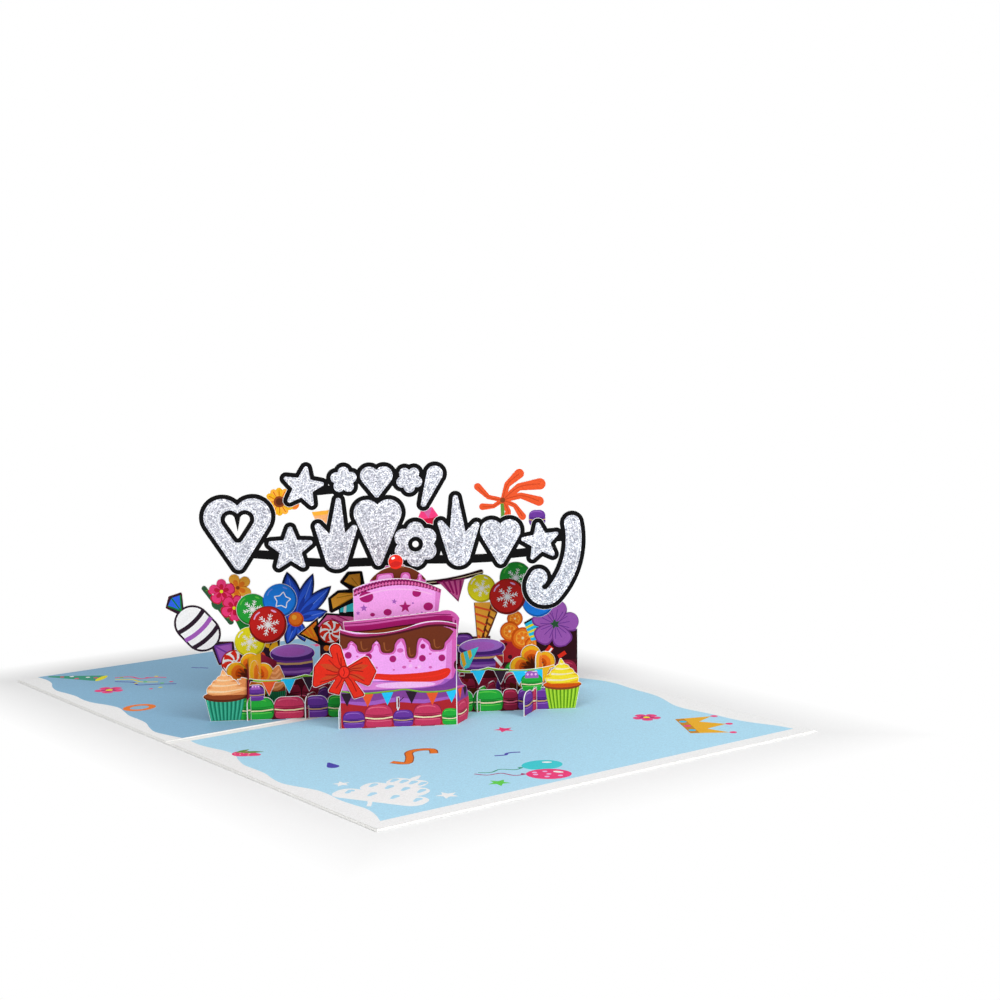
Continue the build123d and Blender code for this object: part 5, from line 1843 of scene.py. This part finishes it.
        art.lay(Ink.WALL_RED, box(46.4, 68.4, 11.8, 22.4))
        art.scatter(Ink.MAROON, 50, 66, 12, 20, 1.6, 10, 15)
        for x, y, r in ((56.8, 31.2, 3.6), (54.4, 25.6, 4.4), (60.2, 22.4, 5.0), (64.2, 19.4, 3.0)):
            art.lay(Ink.ORANGE_SHADE, ellipse(x, y, r + 0.2))
            art.lay(Ink.ORANGE, ellipse(x, y, 0.84 * r))
            art.lay(Ink.ORANGE_LIGHT, ellipse(x, y, 0.62 * r))
            for k in range(7):
                art.lay(Ink.ORANGE, petal(x, y, 360 * k / 7, 0.56 * r, 0.3 * r, 0.1 * r))
            art.lay(Ink.CREAM, ellipse(x, y, 0.12 * r, steps=8))
        left, right, low_right, low_left = (60.6, 29.4), (68.6, 33.8), (70.0, 22.0), (64.0, 21.0)
        art.lay(Ink.CYAN, [left, right, low_right, low_left])
        for share in (0.3, 0.55, 0.8):
            ends = [(a[0] + (b[0] - a[0]) * share, a[1] + (b[1] - a[1]) * share)
                    for a, b in ((left, low_left), (right, low_right))]
            art.lay(Ink.YELLOW, strip(ends, 1.0))
        art.lay(Ink.BLACK, strip([(60.0, 29.0), (69.4, 34.2)], 1.8))
        art.lay(Ink.MAROON_SHADE, box(66.2, 86, 12.0, 27))
        art.lay(Ink.RED, strip([(76.0, 13.4), (79.2, 15.4)], 1.8), strip([(69.0, 13.2), (73.0, 18.2)], 2.6))
        art.lay(Ink.SNOW, strip([(70.0, 13.6), (73.2, 17.4)], 0.8))
        x, y = 74.6, 28.2
        art.line(Ink.LEAF, [(x, y), (71.6, 22.4), (69.9, 18.8)], 0.8)
        for way in fan(8):
            art.lay(Ink.LILAC_SHADE, petal(x, y, way, 11.0, 9.0))
            art.lay(Ink.LILAC, petal(x, y, way, 10.4, 7.6))
        for way in fan(8, 15):
            art.line(Ink.PURPLE, [polar(x, y, reach, math.radians(way)) for reach in (1.5, 6.6)], 0.3)
        art.lay(Ink.BAMBOO, star(x, y, 2.4, 0.5, 5, 30))

    def balloons(self) -> dict[str, Artwork]:
        """Prints of the two balloon clusters.

        Returns:
            Their artwork by the name of the piece.
        """
        green = (Ink.GREEN, Ink.GREEN_SHADE, Ink.GREEN_LIGHT)
        blue = (Ink.BLUE, Ink.BLUE_SHADE, Ink.ROYAL_LIGHT)
        yellow = (Ink.YELLOW, Ink.YELLOW_SHADE, Ink.SNOW)
        red = (Ink.BALLOON_RED, Ink.BALLOON_RED_SHADE, Ink.CAKE_PALE)
        prints = {}
        for name, cluster, kinds in (("left_balloons", self.left_cluster, (green, blue, yellow, red)),
                                     ("right_balloons", self.right_cluster, (green, yellow, blue, red))):
            prints[name] = Artwork(Ink.WHITE)
            for (x, y, r), kind in zip(cluster, kinds):
                prints[name].balloon(x, y, r + 0.1, *kind, open_star=kind is blue)
        return prints

    def blossom_art(self) -> Artwork:
        """Print of the bright flowers, leaves and bamboo behind the balloons.

        Returns:
            The artwork.
        """
        art = Artwork(Ink.GREEN_SHADE)
        art.scatter(Ink.LEAF, -80, -58, 28, 56, 1.6, 22, 17)
        art.lay(Ink.BAMBOO, drop(-78.0, 48.6, 1.6, -67.0, 33.6, 1.8))
        for k in range(4):
            art.line(Ink.LEAF, [(-77.4 + 3.0 * k, 47.4 - 4.1 * k), (-75.8 + 3.0 * k, 48.2 - 4.1 * k)], 0.5)
        for x, y, reach, turn, inks, core in (
                (-63.6, 48.4, 6.8, 40, (Ink.ORANGE_SHADE, Ink.ORANGE_LIGHT, Ink.ORANGE), Ink.BROWN),
                (-70.6, 47.0, 6.0, 18, (Ink.BLOOM_RED, Ink.HOT_PINK, Ink.BLOOM_RED), Ink.YELLOW),
                (-65.4, 39.6, 6.0, 60, (Ink.BLOOM_RED, Ink.HOT_PINK, Ink.BLOOM_RED), Ink.YELLOW)):
            art.flower(x, y, fan(turn), reach, 0.86 * reach, inks, core, 0.12 * reach)
        return art

    def blue_art(self) -> Artwork:
        """Print of the blue flower with its orange ball.

        Returns:
            The artwork.
        """
        art = Artwork(Ink.NAVY)
        x, y = -38.9, 33.8
        for tip in ((-42.4, 55.0, 4.4), (-31.0, 54.0, 3.2), (-23.2, 48.2, 3.4), (-25.0, 37.0, 2.8),
                    (-35.2, 23.6, 2.6),
                    (-43.4, 22.6, 2.8), (-52.0, 33.0, 4.0)):
            for reach, share, ink in ((0.95, 0.86, Ink.ROYAL_SHADE), (0.9, 0.66, Ink.ROYAL),
                                      (0.55, 0.3, Ink.ROYAL_SHADE)):
                art.lay(ink, leaf(x, y, x + reach * (tip[0] - x), y + reach * (tip[1] - y), share * tip[2]))
            art.line(Ink.ROYAL_LIGHT, [(x + q * (tip[0] - x) + 0.4, y + q * (tip[1] - y))
                                       for q in (0.45, 0.65, 0.85)], 0.3)
        art.lay(Ink.ORANGE_SHADE, ellipse(x, y, 3.3))
        art.lay(Ink.ORANGE, ellipse(x - 0.2, y + 0.3, 2.7))
        art.lay(Ink.ORANGE_LIGHT, ellipse(x - 0.8, y + 0.9, 1.1))
        return art

    def build(self) -> None:
        """Prints the back slice and what is glued on it."""
        self.face({"back_slice": self.art(), "blossoms": self.blossom_art(), "blue_flower": self.blue_art(),
                   **self.balloons()})


# Ornament


@dataclass
class Ornament(Section):
    """Black sheet with its silver glitter shapes and the small items glued behind it."""

    # Band inside each glitter shape's rim, in mm, where a white painted highlight follows the embossed line.
    rim_glint_near: float = 0.95
    rim_glint_far: float = 1.3
    clear_share: float = 0.94  # of the line's mean distance from the rim

    def rim_glint(self, node: bpy.types.Object) -> None:
        """Prints the fine white line that follows a glitter shape's rim: a painted highlight along the
        embossed line there.

        Args:
            node: The glitter shape's CAD node.
        """
        plane = self.lattice.facing()
        region = read_region(node, plane, Side.FRONT)
        art = Artwork(None)
        segments = [(region.corners[a], region.corners[b]) for a, b in region.rim]
        clear = self.clear_share * (self.rim_glint_near + self.rim_glint_far) / 2
        for quad in rim_quads(region, self.rim_glint_near, self.rim_glint_far):
            x, y = sum(p[0] for p in quad) / 4, sum(p[1] for p in quad) / 4
            if distance_to(segments, x, y) > clear:
                # White painted highlight along the embossed line.
                art.lay(Ink.SNOW, quad)
        if art.fields:
            self.printer.sheet(node.name, [(plane, (Side.FRONT,), art)], "glitter_card")

    def items(self) -> dict[str, Artwork]:
        """Prints of the items glued on the ornament's back.

        Returns:
            Their artwork by the name of the piece.
        """
        sunflower, x, y = Artwork(Ink.ORANGE), -44.6, 88.0
        for k, way in enumerate(fan(0, 12)):
            sunflower.lay(Ink.GOLD if k % 2 else Ink.ORANGE_LIGHT, petal(x, y, way, 6.4, 2.8))
            sunflower.line(Ink.ORANGE_SHADE, [polar(x, y, reach, math.radians(way)) for reach in (2.4, 5.0)],
                           0.3)
        sunflower.lay(Ink.BROWN, ellipse(x, y, 2.4))
        sunflower.lay(Ink.BROWN_SHADE, ellipse(x, y, 1.5))
        sunflower.lay(Ink.OLIVE, petal(-47.0, 84.6, 228, 5.0, 3.6))
        gift = Artwork(Ink.PEACH)
        gift.lay(Ink.ORANGE_LIGHT, [(-31.4, 83.4), (-21.4, 84.4), (-22.4, 82.4), (-31.0, 81.6)])
        gift.lay(Ink.GREEN_SHADE, [(-23.4, 84.4), (-20, 84.6), (-20, 76), (-23.0, 75.6)])
        gift.lay(Ink.ORANGE, [(-28.4, 76.4), (-27.8, 74.0), (-20, 76.0), (-20.6, 78.2)])
        gem = Artwork(Ink.HOT_PINK)
        gem.lay(Ink.BLOOM_RED, [(13.0, 79.0), (18.0, 74.6), (18.0, 79.4)],
                [(22.6, 80.0), (18.0, 74.6), (18.0, 79.4)])
        gem.lay(Ink.PINK_STRIPE, [(15.0, 83.6), (19.6, 84.4), (18.0, 79.4)])
        palm, root = Artwork(Ink.CORAL), (49.6, 86.4)
        for x, y in ((39.0, 92.4), (41.0, 83.8), (56.8, 97.6), (65.6, 93.0), (65.2, 85.6), (58.0, 79.2),
                     (51.4, 76.4)):
            bend = ((root[0] + x) / 2 + 0.14 * (root[1] - y), (root[1] + y) / 2 + 0.14 * (x - root[0]))
            palm.line(Ink.CORAL_SHADE, [root, bend, (x, y)], 0.4)
        palm.line(Ink.LEAF, [(49.2, 85.0), (49.4, 79.3), (45.6, 73.4)], 1.6)
        palm.lay(Ink.BROWN, ellipse(*root, 1.1))
        macaron = Artwork(Ink.PURPLE)
        macaron.macaron(60.6, 68.0, 74.4, 82.0, *Macaron.PURPLE.value)
        return {"sunflower": sunflower, "gift_box": gift, "pink_gem": gem, "palm_flower": palm,
                "small_macaron": macaron}

    def build(self) -> None:
        """Prints the backing, covers the shapes with glitter and prints the items behind them."""
        self.face({"ornament_backing": Artwork(Ink.BLACK)}, "black_card")
        glitter = GlitterCard().material()
        for name, node in self.printer.nodes.items():
            if name.startswith("glitter_"):
                dress(node, glitter)
                self.rim_glint(node)
        self.face(self.items())


def distance_to(segments: list[tuple[Spot, Spot]], x: float, y: float) -> float:
    """Distance from a spot to the nearest of some segments.

    Args:
        segments: Ends of each segment.
        x: The spot, sideways.
        y: The spot, upwards.

    Returns:
        The distance.
    """
    best = math.inf
    for (ax, ay), (bx, by) in segments:
        dx, dy = bx - ax, by - ay
        t = max(0.0, min(1.0, ((x - ax) * dx + (y - ay) * dy) / (dx * dx + dy * dy + 1e-12)))
        best = min(best, math.hypot(x - ax - t * dx, y - ay - t * dy))
    return best


# Crossing sheets


@dataclass
class Crossings(Section):
    """The low sheets that run the other way, each a row of macarons."""

    row: float = 10.0
    pitch: float = 10.5
    count: int = 7
    tall_ends: tuple = ((2, 2.5, Ink.TEAL_SHADE), (7, 14.0, Ink.BROWN_SHADE))

    def art(self, low: float, high: float, shift: int) -> Artwork:
        """Print of one crossing sheet.

        Args:
            low: Its near end along itself.
            high: Its far end.
            shift: Which flavour comes first.

        Returns:
            The artwork.
        """
        art = Artwork(Ink.CRIMSON_SHADE)
        art.even_row(low, high, self.row, max(1, round((high - low) / self.pitch)),
                     (Macaron.PURPLE, Macaron.CRIMSON, Macaron.GREEN, Macaron.WINE), shift)
        return art

    def tall_end(self, art: Artwork, edge: float, foot: Ink) -> None:
        """Adds the flower on a crossing sheet's tall end.

        Args:
            art: What it is added to.
            edge: Where the tall end starts.
            foot: Ink of the band under the flower.
        """
        x, y = edge + 4.6, 13.6
        art.lay(Ink.GOLD, box(edge - 0.6, edge + 9.6, 9.8, 26))
        art.lay(Ink.ORANGE_LIGHT, petal(x, y, 80, 10.6, 6.4), petal(x, y, 20, 7.0, 4.4))
        art.lay(Ink.ORANGE, petal(x, y, 80, 8.6, 4.0), petal(x, y, 150, 6.0, 3.4))
        art.lay(foot, box(edge - 0.6, edge + 9.6, 9.0, 11.6))

    def build(self) -> None:
        """Prints the crossing sheets."""
        plane = self.lattice.crossing()
        for k in range(1, self.count + 1):
            name = f"cross_slice_{k}"
            places = [v.co.dot(plane.right) / MM for v in self.printer.nodes[name].data.vertices]
            art = self.art(min(places), max(places), k % self.count)
            for number, start, foot in self.tall_ends:
                if number == k:
                    self.tall_end(art, min(places) + start, foot)
            self.printer.both(name, plane, art, "printed_card")


# Studio


@dataclass(frozen=True)
class Lamp:
    """Square area lamp: its place and side in metres, and its power in watts."""

    name: str
    place: tuple
    side: float
    power: float

    def build(self, aim: Vector) -> None:
        """Hangs the lamp and turns it to a spot.

        Args:
            aim: Spot that the lamp looks at.
        """
        data = bpy.data.lights.new(self.name, "AREA")
        data.energy, data.size = self.power, self.side
        lamp = new_object(self.name, data)
        lamp.location = self.place
        lamp.rotation_euler = (aim - Vector(self.place)).to_track_quat("-Z", "Y").to_euler()


@dataclass(frozen=True)
class Studio:
    """Plain pale floor, soft light and the camera at the photograph's angle."""

    place: tuple = (-428.22, -642.43, 181.1)
    right: tuple = (0.795, -0.6065, -0.0108)
    up: tuple = (0.0814, 0.0891, 0.9927)
    focal_px: float = 1839.32
    image_px: float = 1000.0
    sensor: float = 36.0
    nearest: float = 0.01
    card: tuple = (0.21, 0.297)
    world_level: float = 0.36
    floor_half: float = 6.0
    floor_level: float = -0.0001
    floor_near: float = 0.003  # m outside the card's edge, where the floor starts to turn white
    floor_far: float = 0.035  # m, where it is fully white
    aim: tuple = (0.0, 0.0, 0.03)
    lamps: tuple = (Lamp("key", (-0.8, -0.6, 0.9), 0.7, 5.95), Lamp("fill", (0.25, -1.15, 0.55), 0.6, 8.075),
                    Lamp("rear", (0.5, 0.9, 0.9), 0.9, 2.55))

    def camera(self) -> None:
        """Makes the camera."""
        right, up = Vector(self.right).normalized(), Vector(self.up)
        up = (up - right * up.dot(right)).normalized()
        data = bpy.data.cameras.new("camera")
        data.sensor_width = self.sensor
        data.lens = self.focal_px * self.sensor / self.image_px
        data.clip_start = self.nearest
        camera = new_object("camera", data)
        matrix = Matrix((right, up, right.cross(up))).transposed().to_4x4()
        matrix.translation = Vector(self.place) * MM
        camera.matrix_world = matrix
        bpy.context.scene.camera = camera

    def backdrop(self) -> bpy.types.Material:
        """Makes the floor's paper: shaded near the card, and white to the camera farther out.

        Returns:
            The material.
        """
        material, tree = new_material("white_seamless_backdrop_paper")
        place = add(tree, "ShaderNodeTexCoord").outputs["Object"]
        grain = add(tree, "ShaderNodeTexNoise", {"Scale": 60.0, "Detail": 2.0}, {"Vector": place})
        ramp = add(tree, "ShaderNodeValToRGB", links={"Fac": grain.outputs["Fac"]})
        for stop, code in zip(ramp.color_ramp.elements, ("#FAFAFA", "#FDFDFD")):
            stop.color = linear(code)
        shader = add(tree, "ShaderNodeBsdfPrincipled", {"Roughness": 0.95, "Specular IOR Level": 0.0},
                     {"Base Color": ramp.outputs["Color"]})
        parts = add(tree, "ShaderNodeSeparateXYZ", links={"Vector": place})
        beyond = [calculate(tree, "SUBTRACT", calculate(tree, "ABSOLUTE", parts.outputs[axis]), size / 2)
                  for axis, size in zip("XY", self.card)]
        far = add(tree, "ShaderNodeMapRange", {"From Min": self.floor_near, "From Max": self.floor_far},
                  {"Value": calculate(tree, "MAXIMUM", *beyond)})
        path = add(tree, "ShaderNodeLightPath")
        seen = calculate(tree, "MULTIPLY", far.outputs["Result"], path.outputs["Is Camera Ray"])
        white = add(tree, "ShaderNodeEmission", {"Color": FULL_WHITE, "Strength": 1.0})
        mix = add(tree, "ShaderNodeMixShader", links={0: seen, 1: shader.outputs[0], 2: white.outputs[0]})
        add(tree, "ShaderNodeOutputMaterial", links={"Surface": mix.outputs[0]})
        return material

    def floor(self) -> None:
        """Makes the floor under the card."""
        mesh = bpy.data.meshes.new("floor")
        half = self.floor_half
        mesh.from_pydata([(x, y, self.floor_level) for x, y in box(-half, half, -half, half)], [],
                         [(0, 1, 2, 3)])
        mesh.materials.append(self.backdrop())
        floor = new_object("floor", mesh)

    def world(self) -> None:
        """Makes the white surroundings: full white to the camera and in reflections, softer as light."""
        world = bpy.data.worlds.new("white_studio")
        world.use_nodes = True
        tree = world.node_tree
        tree.nodes.clear()
        rays = add(tree, "ShaderNodeLightPath").outputs
        seen = calculate(tree, "MAXIMUM", calculate(tree, "MAXIMUM", rays["Is Camera Ray"],
                                                    rays["Is Glossy Ray"]),
                         rays["Is Transmission Ray"])
        soft, bright = [add(tree, "ShaderNodeBackground", {"Color": FULL_WHITE, "Strength": strength})
                        for strength in (self.world_level, 1.0)]
        mix = add(tree, "ShaderNodeMixShader", links={0: seen, 1: soft.outputs[0], 2: bright.outputs[0]})
        add(tree, "ShaderNodeOutputWorld", links={"Surface": mix.outputs[0]})
        bpy.context.scene.world = world

    def build(self) -> None:
        """Makes the camera, floor, lamps and surroundings."""
        self.camera()
        self.floor()
        for lamp in self.lamps:
            lamp.build(Vector(self.aim))
        self.world()
        bpy.context.scene.view_settings.view_transform = "Standard"


def main() -> None:
    """Builds everything in order."""
    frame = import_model()
    Studio().build()
    card = CutCard().material()
    for name, node in frame["nodes"].items():
        dress(node, card)
        LOG.info("%s: bare card on the CAD sheet", name)
    printer, lattice = Press(frame["nodes"]), Lattice()
    for section in (Base, Cake, Wings, Middle, Back, Ornament, Crossings):
        section(printer, lattice).build()
        LOG.info("%s dressed", section.__name__)
    LOG.info("%d printed pieces", printer.made)


if __name__ == "__main__":
    logging.basicConfig(level=logging.INFO, format="%(message)s")
    main()
